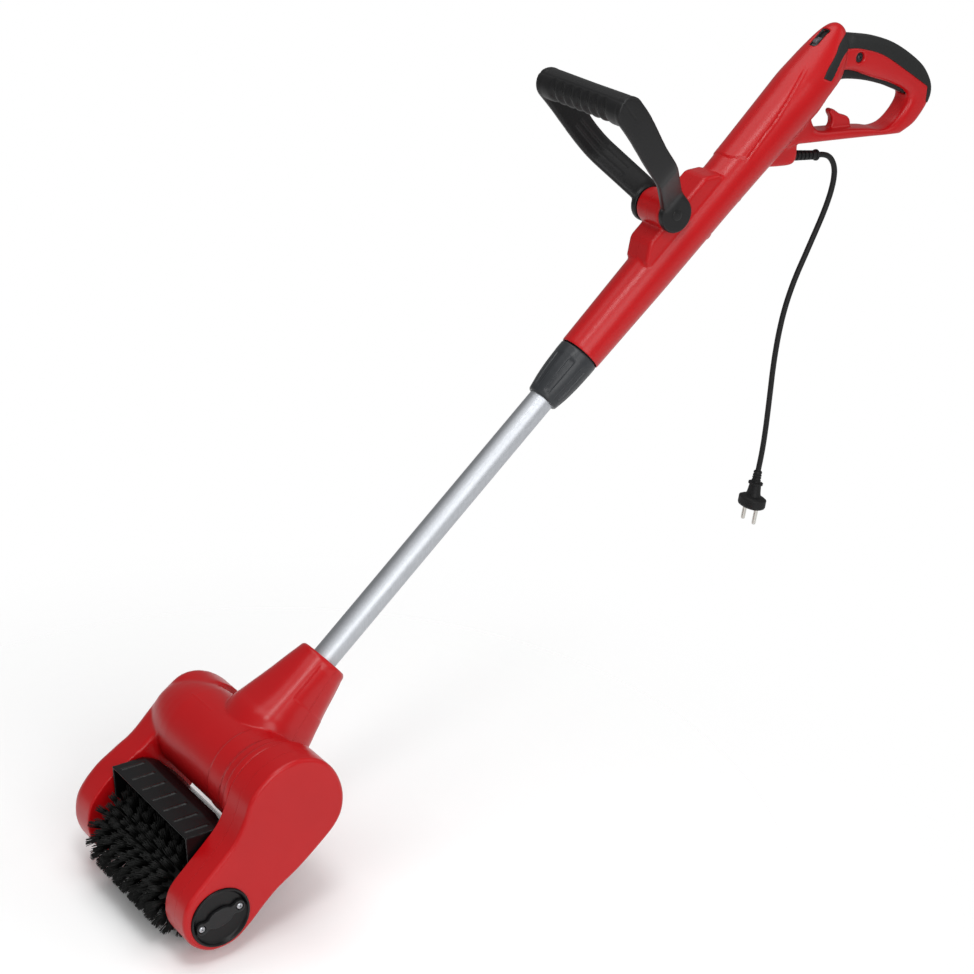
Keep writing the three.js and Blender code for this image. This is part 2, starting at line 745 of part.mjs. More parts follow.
// Splash guard: a curved sheet over the roller with a flat front lip, ribs and two end plates
function guardPoint(radius, turn) {
  const angle = (turn * Math.PI) / 180;
  return [brushAxisY - radius * Math.sin(angle), radius * Math.cos(angle)];
}
const guardTurns = 9;
const guardArc = (inset) => [
  guardPoint(guardCornerRadius - inset, guardCornerTurn),
  ...Array.from({ length: guardTurns + 1 }, (_, i) => guardPoint(guardRadius - inset,
    guardFrontTurn + ((guardRearTurn - guardFrontTurn) * i) / guardTurns)),
];
function makeGuard() {
  const lipInside = [guardLip[0] + guardSheet, guardLip[1] - guardSheet / 2];
  const outer = guardArc(0);
  const sheet = slab(
    [guardLip, ...outer, ...guardArc(guardSheet).reverse(), lipInside].reverse(),
    -guardHalfLength, guardHalfLength);
  const plate = [
    guardLip, ...outer, [outer[outer.length - 1][0], guardSkirtLevel],
    [guardSkirtFront, guardSkirtLevel],
  ].reverse();
  let guard = sheet;
  const [bossY, bossZ] = guardScrewPlace;
  for (const side of [-1, 1]) {
    const ends = [side * guardHalfLength, side * (guardHalfLength - guardSheet)].sort((a, b) => a - b);
    guard = guard.add(slab(plate, ...ends));
    const tips = [side * (guardHalfLength - guardSheet), side * (armInner - touchGap)];
    tips.sort((a, b) => a - b);
    guard = guard.add(barX(guardBossRadius, ...tips, bossY, bossZ, smallSides));
  }
  const lipRun = [outer[0][0] - guardLip[0], outer[0][1] - guardLip[1]];
  const lipLength = Math.hypot(...lipRun);
  const along = (share, lift) => [
    guardLip[0] + lipRun[0] * share - (lift * lipRun[1]) / lipLength,
    guardLip[1] + lipRun[1] * share + (lift * lipRun[0]) / lipLength,
  ];
  const ribLifts = [-guardSheet / 2, -guardSheet / 2, guardRibHeight, guardRibHeight];
  const rib = guardRibShares.map((share, i) => along(share, ribLifts[i]));
  for (let i = 0; i < guardRibCount; i += 1) {
    const x = ((i + 1) / (guardRibCount + 1) - 1 / 2) * 2 * guardHalfLength;
    guard = guard.add(slab(rib, x - guardRibThickness / 2, x + guardRibThickness / 2));
  }
  for (const side of [-1, 1]) guard = guard.subtract(guardScrewBore(side));
  add(piece("splash_guard", guard, materials.black));
  for (const [name, side] of [["guard_screw_left", -1], ["guard_screw_right", 1]]) {
    const length = armInner + armWall - guardScrewSeat - screwShank;
    const made = screw(length).rotate([0, 180, 0]);
    add(piece(name, facingX(made, side * (guardScrewSeat), bossY, bossZ, side), materials.steel));
  }
}

// Motor: field and brush bracket fixed in the head, rotor turning in two ball bearings
const bracketStart = -armInner + armWall + touchGap;
const bearingHole = axleRadius + touchGap;
function bearing(from) {
  return turned([
    [bearingHole, from], [bearingRadius, from], [bearingRadius, from + bearingWidth],
    [bearingHole, from + bearingWidth],
  ], midSides).rotate([0, 90, 0]);
}
const fieldEnd = fieldLength / 2;
const rotorRadius = motorBore - touchGap - fieldWall - airGap;
const commutatorEnd = -rotorLength / 2 - touchGap;
const commutatorStart = commutatorEnd - commutatorLength;
const motorShaftStart = bracketStart + armWall;
function makeMotor() {
  const field = turnedX([
    [motorBore - touchGap - fieldWall, -fieldEnd], [motorBore - touchGap, -fieldEnd],
    [motorBore - touchGap, fieldEnd], [motorBore - touchGap - fieldWall, fieldEnd],
  ], ...motorAxis, bigSides);
  add(piece("field_winding", field, materials.copper));
  const bracketEnd = bracketStart + bracketThickness;
  let bracket = barX(motorBore - touchGap, bracketStart, bracketEnd, ...motorAxis, bigSides);
  bracket = bracket.subtract(barX(
    bearingRadius + seatGap, bracketStart + armWall / 2, far, ...motorAxis));
  const carbonStart = commutatorRadius + touchGap;
  const carbonX = [commutatorStart + armWall, commutatorStart + armWall + carbonWidth];
  for (const side of [-1, 1]) {
    const reach = [side * (carbonStart + touchGap), side * (carbonStart + carbonLength + armWall)];
    reach.sort((a, b) => a - b);
    const half = carbonWidth / 2 + armWall;
    bracket = bracket.add(block(
      [bracketEnd - armWall / 2, carbonX[1] + armWall], [motorAxisY - half, motorAxisY + half],
      reach.map((z) => motorAxisZ + z)));
    const stock = [side * carbonStart, side * (carbonStart + carbonLength)].sort((a, b) => a - b);
    const hole = [side * carbonStart - overrun, side * (carbonStart + carbonLength + touchGap)];
    if (side < 0) hole.splice(0, 2, hole[1], hole[0] + 2 * overrun);
    const wide = carbonWidth / 2 + seatGap;
    bracket = bracket.subtract(block(
      [carbonX[0] - seatGap, carbonX[1] + seatGap], [motorAxisY - wide, motorAxisY + wide],
      hole.map((z) => motorAxisZ + z)));
    const carbon = block(carbonX, [motorAxisY - carbonWidth / 2, motorAxisY + carbonWidth / 2],
      stock.map((z) => motorAxisZ + z));
    add(piece(side > 0 ? "carbon_brush_upper" : "carbon_brush_lower", carbon, materials.rubber));
  }
  add(piece("brush_bracket", bracket, materials.black));
  const farSeat = bracketStart + armWall / 2 + touchGap;
  const place = ([y, z]) => [0, y, z];
  add(piece("motor_bearing_far", bearing(farSeat).translate(place(motorAxis)), materials.steel));
  const nearSeat = armInner + armWall / 2 + touchGap;
  add(piece("motor_bearing_near", bearing(nearSeat).translate(place(motorAxis)), materials.steel));
  add(piece("axle_bearing_near", bearing(nearSeat).translate(place(brushAxis)), materials.steel));
  const axleSeat = -armInner - armWall - bearingWidth;
  add(piece("axle_bearing_far", bearing(axleSeat).translate(place(brushAxis)), materials.steel));
}
function makeRotor() {
  const shaft = barX(axleRadius, motorShaftStart, pulleyStart + beltWidth + 2 * pulleyLip,
    ...motorAxis, smallSides);
  add(piece("rotor_shaft", shaft, materials.steel));
  const sleeve = (outer, from, to, sides) => turnedX([
    [bearingHole, from], [outer, from], [outer, to], [bearingHole, to]], ...motorAxis, sides);
  add(piece("rotor_core", sleeve(rotorRadius, -rotorLength / 2, rotorLength / 2, bigSides),
    materials.steel));
  add(piece("commutator", sleeve(commutatorRadius, commutatorStart, commutatorEnd, midSides),
    materials.copper));
  const fanStart = fieldEnd + overrun;
  let fan = sleeve(fanHubRadius, fanStart, fanStart + fanWidth, midSides)
    .add(sleeve(fanRadius, fanStart, fanStart + fanDiscThickness, midSides));
  for (let i = 0; i < fanBlades; i += 1) {
    const blade = block([fanStart, fanStart + fanWidth],
      [-fanBladeThickness / 2, fanBladeThickness / 2], [fanHubRadius - touchGap, fanRadius]);
    fan = fan.add(blade.rotate([(360 * i) / fanBlades, 0, 0]).translate([0, ...motorAxis]));
  }
  add(piece("cooling_fan", fan, materials.black));
  add(piece("drive_pulley", pulley(drivePulleyRadius, motorAxis), materials.steel));
}

// Ribbed-belt pulleys and the belt round them
function pulley(radius, axis) {
  const lipRadius = radius + beltThickness;
  const ribs = [];
  const pitch = beltWidth / pulleyRibs;
  for (let i = 0; i < pulleyRibs; i += 1) {
    ribs.push([radius, pulleyStart + pulleyLip + pitch * i]);
    ribs.push([radius - ribDepth, pulleyStart + pulleyLip + pitch * (i + 1 / 2)]);
  }
  return turnedX([
    [bearingHole, pulleyStart], [lipRadius, pulleyStart], [lipRadius, pulleyStart + pulleyLip / 2],
    ...ribs, [radius, pulleyStart + pulleyLip + beltWidth],
    [radius, pulleyStart + beltWidth + 2 * pulleyLip],
    [bearingHole, pulleyStart + beltWidth + 2 * pulleyLip],
  ], ...axis, midSides);
}
function makeBelt() {
  const from = pulleyStart + pulleyLip + seatGap;
  const to = pulleyStart + pulleyLip + beltWidth - seatGap;
  const ring = (lift) => loopRound(
    brushAxis, drivenPulleyRadius + lift, motorAxis, drivePulleyRadius + lift, beltSteps);
  const belt = slab(ring(touchGap + beltThickness), from, to)
    .subtract(slab(ring(touchGap), from - overrun, to + overrun));
  add(piece("drive_belt", belt, materials.rubber));
}

// Brush roller: hexagonal axle, a core tube with end plates and four slices of bristle backing
function makeRoller() {
  const half = rollerLength / 2;
  const hexHalf = half + endPlateThickness + runGap;
  const axleStart = -armInner - armWall - bearingWidth - axleRadius;
  const axle = barX(axleRadius, axleStart, pulleyStart + beltWidth + 2 * pulleyLip,
    ...brushAxis, midSides).add(barX(hexRadius, -hexHalf, hexHalf, ...brushAxis, hexSides));
  add(piece("brush_axle", axle, materials.steel));
  const hexHole = barX(hexRadius + touchGap, -far, far, ...brushAxis, hexSides);
  let core = barX(coreRadius, -half - touchGap, half + touchGap, ...brushAxis);
  for (const side of [-1, 1]) {
    const ends = [side * (half + touchGap), side * (half + endPlateThickness)];
    ends.sort((a, b) => a - b);
    core = core.add(barX(endPlateRadius, ...ends, ...brushAxis));
  }
  add(piece("roller_core", core.subtract(hexHole), materials.black));
  add(piece("driven_pulley", pulley(drivenPulleyRadius, brushAxis), materials.black));
  const sliceLength = rollerLength / sliceCount;
  const rowPitch = sliceLength / strandRows;
  for (let slice = 0; slice < sliceCount; slice += 1) {
    const from = -half + slice * sliceLength + touchGap / 2;
    const to = from + sliceLength - touchGap;
    const strands = [];
    for (let row = 0; row < strandRows; row += 1) {
      for (let k = 0; k < strandsAround; k += 1) {
        const root = backingRadius - strandRoot;
        const strand = new THREE.CylinderGeometry(
          strandTipRadius, strandRadius, brushRadius - root, 3);
        strand.translate(0, (brushRadius + root) / 2, 0);
        strand.rotateX((2 * Math.PI * (k + (row % 2) / 2 + 1 / 4)) / strandsAround);
        strand.translate(from - touchGap / 2 + rowPitch * (row + 1 / 2), ...brushAxis);
        strands.push(solid(strand));
      }
    }
    const backing = barX(backingRadius, from, to, ...brushAxis, strandsAround * 2)
      .subtract(barX(coreRadius + touchGap, -far, far, ...brushAxis));
    const made = wasm.Manifold.union([backing, ...strands]);
    add(piece(`bristle_slice_${slice + 1}`, made, materials.bristle));
  }
}

// Twist collar with flutes, and the split collet that it squeezes onto the tube
const collarEnd = collarStart + collarLength;
const colletStart = housingStart - colletLength;
function makeCollar() {
  const mouth = tubeRadius + runGap;
  let collar = turned([
    [mouth, collarStart], [collarLowRadius, collarStart],
    [collarTopRadius, collarEnd - collarLipDepth], [collarTopRadius, collarEnd],
    [collarTopRadius - shellWall / 2, collarEnd],
    [collarBoreRadius, collarEnd - collarLipDepth], [collarBoreRadius, collarStart + collarLipDepth],
    [mouth, collarStart + collarLipDepth],
  ], 3 * fluteCount);
  const slope = Math.atan2(collarTopRadius - collarLowRadius, collarLength - collarLipDepth);
  for (let i = 0; i < fluteCount; i += 1) {
    const flute = barZ(fluteRadius, 0, collarLength - collarLipDepth, 0, 0, fluteSides)
      .rotate([0, (slope * 180) / Math.PI, 0])
      .translate([collarLowRadius + fluteSink, 0, collarStart + collarLipDepth / 2])
      .rotate([0, 0, (360 * i) / fluteCount]);
    collar = collar.subtract(flute);
  }
  add(piece("twist_collar", collar, materials.grey));
}
function makeCollet() {
  const bore = tubeRadius + touchGap;
  const flangeStart = housingStart + touchGap;
  let collet = turned([
    [bore, colletStart], [colletRadius - colletLead, colletStart],
    [colletRadius, colletStart + collarLipDepth], [colletRadius, flangeStart], [colletFlangeRadius, flangeStart],
    [colletFlangeRadius, flangeStart + colletFlange], [bore, flangeStart + colletFlange],
  ], tubeSides);
  for (const turn of colletSlotTurns) {
    const slot = block([-far, far], [-colletSlotWidth / 2, colletSlotWidth / 2],
      [colletStart - overrun, colletStart + colletSlotDepth]);
    collet = collet.subtract(slot.rotate([0, 0, turn]));
  }
  add(piece("tube_collet", collet, materials.black));
}

// Rear housing: barrel, dome, D-handle, hump for the front handle and the cable outlet
const handleBack = smooth(backShares.map(onHandle), outlineSteps);
const handleOutline = [...handleBack, ...strutShares.map(onHandle)].reverse();
const triggerOutline = smooth(triggerShares.map(onHandle), loopSteps, true).reverse();
const loopOutline = smooth(loopShares.map(onHandle), loopSteps, true);
const humpOutline = [
  [0, humpHeights[0]], [-barrelRadii[1] + humpRound, humpHeights[0]],
  [-humpRise, humpHeights[1]], [-humpRise, humpHeights[2]],
  [-barrelRadii[1] + humpRound, humpHeights[3]], [0, humpHeights[3]],
].reverse();
const handleScrews = [
  { name: "housing_screw_1", place: onHandle(handleScrewShares), side: 1, half: handleHalfWidth },
  { name: "housing_screw_2", place: onHandle(loopEndScrewShares), side: -1, half: handleHalfWidth },
  { name: "housing_screw_3", place: [barrelRadii[1], bossHeights[0]], side: -1, half: bossHalfWidth },
  { name: "housing_screw_4", place: [barrelRadii[1], bossHeights[1]], side: -1, half: bossHalfWidth },
];
// The barrel and its dome, which leans to the front handle's side, with a skin of some depth off.
function barrelForm(skin = 0) {
  const barrel = turned([
    [0, barrelHeights[0]], ...barrelRadii.map((radius, i) => [radius - skin, barrelHeights[i]]),
    [0, barrelHeights[barrelHeights.length - 1]],
  ], bigSides);
  const shoulder = barrelHeights[barrelHeights.length - 1];
  const discs = domeRadii.map((radius, i) => barZ(radius - skin, domeHeights[i] - skin - domeSlice,
    domeHeights[i] - skin, 0, -domeLeans[i], bigSides));
  discs.push(barZ(barrelRadii[barrelRadii.length - 1] - skin, shoulder - domeSlice, shoulder,
    0, 0, bigSides));
  discs.push(barZ(domeRadii[3] / 2, domeTop - domeSlice - skin, domeTop - skin,
    0, -domeLeans[3], smallSides));
  return barrel.add(wasm.Manifold.hull(discs));
}
function housingForm() {
  const ring = slab(handleOutline, -handleHalfWidth, handleHalfWidth, handleRound);
  const outlet = slab(
    bossShares.map(onHandle), -outletHalfWidth, outletHalfWidth, outletRound);
  const hump = slab(humpOutline, -humpHalfWidth, humpHalfWidth, humpRound);
  const ear = barX(earRadius, -humpHalfWidth, humpHalfWidth, pivotY, pivotZ, midSides);
  let form = barrelForm().add(ring).add(outlet).add(hump).add(ear);
  for (const { place, half } of handleScrews.slice(2)) {
    form = form.add(barX(bossRadius, -half, half, ...place, smallSides));
  }
  form = form.subtract(slab(loopOutline, -reachAll, reachAll));
  return form.add(slab(hookShares.map(onHandle), -hookHalfWidth, hookHalfWidth));
}
// A box in the grip frame, centred on x = 0, from its half width and its spans of u and v.
function gripBlock(half, [uFrom, uTo], [vFrom, vTo]) {
  const corners = [[uFrom, vFrom], [uTo, vFrom], [uTo, vTo], [uFrom, vTo]];
  return slab(corners.map(onGrip), -half, half);
}
function switchRibs() {
  const [uFrom, uTo] = switchSpan;
  const [vFrom, vTo] = switchDepth;
  const ribs = gripBlock(gripRoomHalfWidth + shellWall / 2,
    [uFrom + shellWall, uTo - shellWall], [vFrom + shellWall, vTo - shellWall]);
  return ribs.subtract(gripBlock(switchHalfWidth + touchGap, gripRoomSpan, gripRoomDepth));
}
// The room that the trigger sweeps: its outline with a gap round it, at rest and pulled.
function triggerRoom() {
  const half = triggerHalfWidth + touchGap;
  const [axleY, axleZ] = onHandle(triggerAxleShares);
  const grown = inset(triggerOutline, -runGap);
  const rest = slab(grown, -half, half);
  const pulled = slab(inset(triggerOutline, -2 * runGap), -half, half)
    .translate([0, -axleY, -axleZ]).rotate([-triggerPull, 0, 0]).translate([0, axleY, axleZ]);
  return wasm.Manifold.hull([rest, pulled]);
}
const slotFloor = -domeRadii[0] + slotDepth;
function screwDrop({ place, side, half }) {
  const seat = side * (half - screwHeadHeight - 2 * touchGap);
  const length = 2 * half - 2 * screwHeadHeight - shellWall;
  const pocket = half === bossHalfWidth ? bossPocket : screwPocket + (side > 0 ? seenPocketExtra : 0);
  return { seat, length, place, side, pocket };
}
function housingCuts() {
  const bore = barZ(barrelBore, housingStart - overrun, barrelBoreTop, 0, 0, bigSides);
  const chamber = barZ(chamberRadius, barrelBoreTop - overrun, chamberTop, 0, 0, bigSides)
    .subtract(block([-far, far], [chamberRadius - 3 * shellWall, far], [handleFoot, domeTop]));
  const slot = triggerRoom();
  const axleRoom = handleHalfWidth - shellWall;
  const pin = barX(triggerAxleRadius + touchGap, -axleRoom, axleRoom,
    ...onHandle(triggerAxleShares), smallSides);
  const room = gripBlock(gripRoomHalfWidth, gripRoomSpan, gripRoomDepth);
  const lock = block([-slotHalfWidth, slotHalfWidth], [-far, slotFloor],
    [slotStart, slotStart + slotLength]);
  const bolt = barX(boltRadius + touchGap, -far, far, pivotY, pivotZ, smallSides);
  let cuts = bore.add(chamber).add(slot).add(pin).add(room).add(lock).add(bolt).add(reliefPocket());
  for (const spec of handleScrews) {
    const { seat, length, place, side, pocket } = screwDrop(spec);
    const hole = screwHole(length, handleRound + overrun, pocket);
    cuts = cuts.add(facingX(hole, seat, ...place, side));
  }
  return cuts;
}
function gripCore() {
  const shrink = (points, centre, depth) => points.map(([y, z]) => {
    const span = Math.hypot(y - centre[0], z - centre[1]);
    return [y + ((centre[0] - y) * depth) / span, z + ((centre[1] - z) * depth) / span];
  });
  const centre = onHandle(coreCentreShares);
  const outline = shrink(handleBack, centre, bandDepth);
  const foot = strutShares.map(onHandle);
  const inset = handleHalfWidth - bandDepth;
  return slab([...outline, ...foot].reverse(), -inset, inset, handleRound - bandDepth / 2);
}
function makeHousing() {
  const form = housingForm();
  const cuts = housingCuts();
  const bandOutline = bandShares.map(onHandle).reverse();
  const band = slab(bandOutline, -reachAll, reachAll);
  const core = gripCore().add(barrelForm(bandDepth));
  const bandRoom = form.intersect(band).subtract(core);
  const hard = form.subtract(bandRoom).subtract(cuts).add(switchRibs());
  const everything = [-reachAll, reachAll];
  const leftHalf = block([-reachAll, -splitGap / 2], everything, everything);
  const rightHalf = block([splitGap / 2, reachAll], everything, everything);
  add(piece("housing_shell_left", hard.intersect(leftHalf), materials.red));
  add(piece("housing_shell_right", hard.intersect(rightHalf), materials.red));

  const swollen = slab([
    ...smooth(backShares.map(onHandle), outlineSteps), ...strutShares.map(onHandle)].reverse(),
    -handleHalfWidth - bandProud, handleHalfWidth + bandProud, handleRound)
    .add(barrelForm(-bandProud))
    .subtract(slab(loopOutline, -reachAll, reachAll));
  const nudge = [[touchGap, 0], [-touchGap, 0], [0, touchGap], [0, -touchGap]];
  let soft = swollen.intersect(band);
  for (const [y, z] of nudge) {
    soft = soft.subtract(core.translate([0, y, z]));
    soft = soft.intersect(band.translate([0, y, z]));
  }
  for (const x of [-touchGap, touchGap]) soft = soft.subtract(core.translate([x, 0, 0]));
  soft = soft.subtract(cuts);
  const largest = (made) => made.decompose().sort((a, b) => b.volume() - a.volume())[0];
  add(piece("soft_grip_left", largest(soft.intersect(leftHalf)), materials.rubber));
  add(piece("soft_grip_right", largest(soft.intersect(rightHalf)), materials.rubber));
  for (const spec of handleScrews) {
    const { seat, length, place, side } = screwDrop(spec);
    add(piece(spec.name, facingX(screw(length), seat, ...place, side), materials.steel));
  }
}

// Trigger with its stub axles, the switch, the capacitor and the lock slide
function makeControls() {
  const axleHalf = handleHalfWidth - shellWall - touchGap;
  const trigger = slab(triggerOutline, -triggerHalfWidth, triggerHalfWidth, triggerRound)
    .add(barX(triggerAxleRadius, -axleHalf, axleHalf, ...onHandle(triggerAxleShares), smallSides));
  add(piece("trigger", trigger, materials.black));
  const plunger = barZ(plungerRadius, -plungerLength, touchGap, 0, 0, smallSides)
    .rotate([gripTurn, 0, 0])
    .translate([0, ...onGrip([plungerPlace, switchDepth[0]])]);
  const microSwitch = gripBlock(switchHalfWidth, switchSpan, switchDepth).add(plunger);
  add(piece("micro_switch", microSwitch, materials.black));
  add(piece("capacitor", barZ(capacitorRadius, capacitorStart, capacitorStart + capacitorLength,
    0, -chamberRadius + capacitorRadius + 2 * touchGap, midSides), materials.white));
  const floor = slotFloor - touchGap;
  const baseStart = slotStart + touchGap;
  const half = slotHalfWidth - touchGap;
  const lock = block([-half, half], [floor - lockBase, floor], [baseStart, baseStart + lockLength])
    .add(block([-half / 2, half / 2], [floor - lockBase - lockKnob, floor - lockBase / 2],
      [baseStart + lockLength / 4, baseStart + (lockLength * 3) / 4]));
  add(piece("lock_slide", lock, materials.black));
}

// Front handle: two straps from the pivots to a cross grip with finger grooves, and its bolt
function strapOutline(side) {
  const outer = smooth(strapPath, strapSteps);
  const normal = (i) => {
    const a = outer[Math.max(i - 1, 0)];
    const b = outer[Math.min(i + 1, outer.length - 1)];
    const span = Math.hypot(b[0] - a[0], b[1] - a[1]);
    return [-(b[1] - a[1]) / span, (b[0] - a[0]) / span];
  };
  const edge = (share) => outer.map(([y, x], i) => {
    const [ny, nx] = normal(i);
    return [y + share * strapThickness * ny, x + share * strapThickness * nx];
  });
  const points = [...edge(1 / 2), ...edge(-1 / 2).reverse()];
  return points.map(([y, x]) => new THREE.Vector2(side * x, y));
}
function makeFrontHandle() {
  const gripZ = pivotZ + gripRise;
  const grip = barX(gripRadius, -gripHalfSpan, gripHalfSpan, gripLine, gripZ, midSides);
  let handle = grip;
  const discOut = strapPath[0][1] + strapThickness / 2;
  const discIn = discOut - strapThickness;
  for (const side of [-1, 1]) {
    const shape = new THREE.Shape(strapOutline(side));
    const strap = solid(new THREE.ExtrudeGeometry(shape, {
      depth: 2 * strapHalfWidth, bevelEnabled: false,
    }).translate(0, 0, pivotZ + strapRise - strapHalfWidth));
    const ends = [side * discIn, side * discOut].sort((a, b) => a - b);
    handle = handle.add(strap).add(barX(pivotRadius, ...ends, pivotY, pivotZ, midSides));
    const knuckle = new THREE.SphereGeometry(gripRadius, smallSides * 2, smallSides);
    handle = handle.add(solid(knuckle.translate(side * gripHalfSpan * knuckleShare, gripLine, gripZ)));
  }
  for (let i = 0; i < grooveCount; i += 1) {
    const x = (i - (grooveCount - 1) / 2) * groovePitch;
    const groove = barY(grooveRadius, gripLine - 2 * gripRadius, gripLine + 2 * gripRadius,
      x, gripZ - gripRadius - grooveRadius + grooveSink, smallSides);
    handle = handle.subtract(groove);
  }
  handle = handle.subtract(barX(boltRadius + touchGap, -far, far, pivotY, pivotZ, smallSides));
  add(piece("front_handle", handle, materials.black));
  const seat = discOut + touchGap;
  const bolt = barX(boltRadius, -seat - boltHeadHeight * 2, seat, pivotY, pivotZ, smallSides)
    .add(barX(boltHead, seat, seat + boltHeadHeight, pivotY, pivotZ, midSides));
  add(piece("handle_bolt", bolt, materials.black));
  const nut = barX(boltHead, -seat - boltHeadHeight * 2, -seat, pivotY, pivotZ, hexSides)
    .subtract(barX(boltRadius + touchGap, -far, far, pivotY, pivotZ, smallSides));
  add(piece("handle_nut", nut, materials.steel));
}

// Strain relief: a ribbed rubber sleeve in the outlet, along its own turned axis
const outletAngle = (outletTurn * Math.PI) / 180;
const outletAlong = [Math.cos(outletAngle), Math.sin(outletAngle)];
const reliefReach = reliefLength - reliefInside;
const alongOutlet = (made) => made
  .rotate([outletTurn - 90, 0, 0]).translate([0, outletPlace[0], outletPlace[1]]);
function reliefPocket() {
  const room = reliefRadius + seatGap;
  return alongOutlet(turned([
    [0, -reliefInside - touchGap], [reliefFlange + seatGap, -reliefInside - touchGap],
    [reliefFlange + seatGap, -reliefInside + reliefFlangeWidth + touchGap],
    [room, -reliefInside + reliefFlangeWidth + touchGap], [room, 3 * overrun], [0, 3 * overrun],
  ], reliefSides));
}
function makeRelief() {
  const profile = [
    [0, -reliefInside], [reliefFlange, -reliefInside],
    [reliefFlange, -reliefInside + reliefFlangeWidth],
    [reliefRadius, -reliefInside + reliefFlangeWidth],
  ];
  const ringStart = overrun + 2 * overrun;
  const pitch = (reliefReach - ringStart) / reliefRings;
  for (let i = 0; i < reliefRings; i += 1) {
    const radius = reliefRadius + ((reliefTipRadius - reliefRadius) * i) / reliefRings;
    profile.push([radius, ringStart + pitch * i], [radius - reliefGroove, ringStart + pitch * i]);
  }
  profile.push([reliefTipRadius, reliefReach - reliefEndWidth]);
  profile.push([reliefEndRadius, reliefReach - reliefEndWidth]);
  profile.push([reliefEndRadius, reliefReach], [0, reliefReach]);
  add(piece("strain_relief", alongOutlet(turned(profile, reliefSides)), materials.rubber));
}

makeHead();
makeDriveArm();
makeCap();
makeGuard();
makeMotor();
makeRotor();
makeBelt();
makeRoller();
add(piece("shaft_tube", makeTube(), materials.aluminium));
add(piece("tube_guide", makeTubeGuide(), materials.black));
makeCollar();
makeCollet();
makeHousing();
makeControls();
makeFrontHandle();
makeRelief();

// Frame of the part: origin at the rear grip, +z up, with the shaft at its working slope
const gripCentre = onHandle(gripCentreShares);
const slope = (shaftSlope * Math.PI) / 180;
shaftGroup.position.set(0, -gripCentre[0], -gripCentre[1]);
const tilted = new THREE.Group();
tilted.rotation.x = slope - Math.PI / 2;
tilted.add(shaftGroup);

// A place of the machine frame in the part's frame, on the plane x = 0
function inPart([y, z]) {
  const [dy, dz] = [y - gripCentre[0], z - gripCentre[1]];
  return [
    dy * Math.sin(slope) + dz * Math.cos(slope),
    -dy * Math.cos(slope) + dz * Math.sin(slope),
  ];
}

// Cord from the strain relief's end face down to the plug
const reliefEnd = inPart([
  outletPlace[0] + outletAlong[0] * (reliefReach + touchGap),
  outletPlace[1] + outletAlong[1] * (reliefReach + touchGap),
]);
const cordPoints = cordRoute.map(([y, z]) =>
  new THREE.Vector3(0, reliefEnd[0] + y, reliefEnd[1] + z));
const cordCurve = new THREE.CatmullRomCurve3(cordPoints, false, "centripetal");
const cordSection = new THREE.Shape(Array.from({ length: cordSides }, (_, i) => {
  const turn = (2 * Math.PI * i) / cordSides;
  return new THREE.Vector2(
    (cordDiameter / 2) * Math.cos(turn), (cordDiameter / 2) * Math.sin(turn));
}));
const cordGeometry = new THREE.ExtrudeGeometry(cordSection, {
  steps: Math.round(cordCurve.getLength() / cordStep),
  extrudePath: cordCurve,
});

const root = new THREE.Group();
root.add(tilted);
root.add(piece("power_cord", solid(cordGeometry), materials.rubber));

// Plug: a flattened body that widens to its face, with two round pins
const cordEnd = cordPoints[cordPoints.length - 1];
const cordHeading = cordCurve.getTangent(1);
const plugGroup = new THREE.Group();
plugGroup.position.copy(cordEnd);
plugGroup.rotation.x = Math.atan2(-cordHeading.y, cordHeading.z);
const plugBody = turned([
  [0, touchGap], [plugNeckRadius, touchGap],
  ...plugWaistShares.map(([down, wide]) => [wide * plugFaceRadius, down * plugLength]),
  [plugFaceRadius, plugLength - plugFaceDepth + plugEdge], [plugFaceRadius, plugLength - plugEdge],
  [plugFaceRadius - plugEdge, plugLength], [0, plugLength],
], midSides).scale([1, plugFlatShare, 1]);
let plugShell = plugBody;
for (const side of [-1, 1]) {
  plugShell = plugShell.subtract(barZ(
    pinRadius + seatGap, plugLength - plugFaceDepth, plugLength + overrun,
    side * pinHalfPitch, 0, smallSides));
}
plugGroup.add(piece("plug_body", plugShell, materials.rubber));
for (const [name, side] of [["plug_pin_left", -1], ["plug_pin_right", 1]]) {
  const pin = turned([
    [0, plugLength - plugFaceDepth + touchGap], [pinRadius, plugLength - plugFaceDepth + touchGap],
    [pinRadius, plugLength + pinLength - pinRadius], [pinRadius / 2, plugLength + pinLength],
    [0, plugLength + pinLength],
  ], smallSides).translate([side * pinHalfPitch, 0, 0]);
  plugGroup.add(piece(name, pin, materials.brass));
}
root.add(plugGroup);

export default root;
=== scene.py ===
"""The looks of an electric patio cleaner: moulded red shells, black grips, an aluminium tube and a
bristle roller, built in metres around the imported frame."""

import json
import math

import bmesh
import bpy
import numpy as np
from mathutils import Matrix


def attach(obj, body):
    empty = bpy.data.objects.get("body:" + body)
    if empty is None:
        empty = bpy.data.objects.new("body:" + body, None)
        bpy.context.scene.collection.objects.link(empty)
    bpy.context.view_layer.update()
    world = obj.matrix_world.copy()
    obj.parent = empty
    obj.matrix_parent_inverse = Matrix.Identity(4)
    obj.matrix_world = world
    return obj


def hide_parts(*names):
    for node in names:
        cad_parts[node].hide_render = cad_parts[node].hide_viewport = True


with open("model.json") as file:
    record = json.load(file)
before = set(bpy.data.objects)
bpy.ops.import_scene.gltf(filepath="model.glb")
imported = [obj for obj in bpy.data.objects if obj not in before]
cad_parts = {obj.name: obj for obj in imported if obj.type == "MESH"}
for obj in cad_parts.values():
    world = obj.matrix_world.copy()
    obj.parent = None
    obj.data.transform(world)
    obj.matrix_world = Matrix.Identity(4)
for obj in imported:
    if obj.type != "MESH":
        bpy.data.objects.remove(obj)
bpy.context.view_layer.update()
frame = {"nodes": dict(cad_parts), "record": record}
nodes = frame["nodes"]

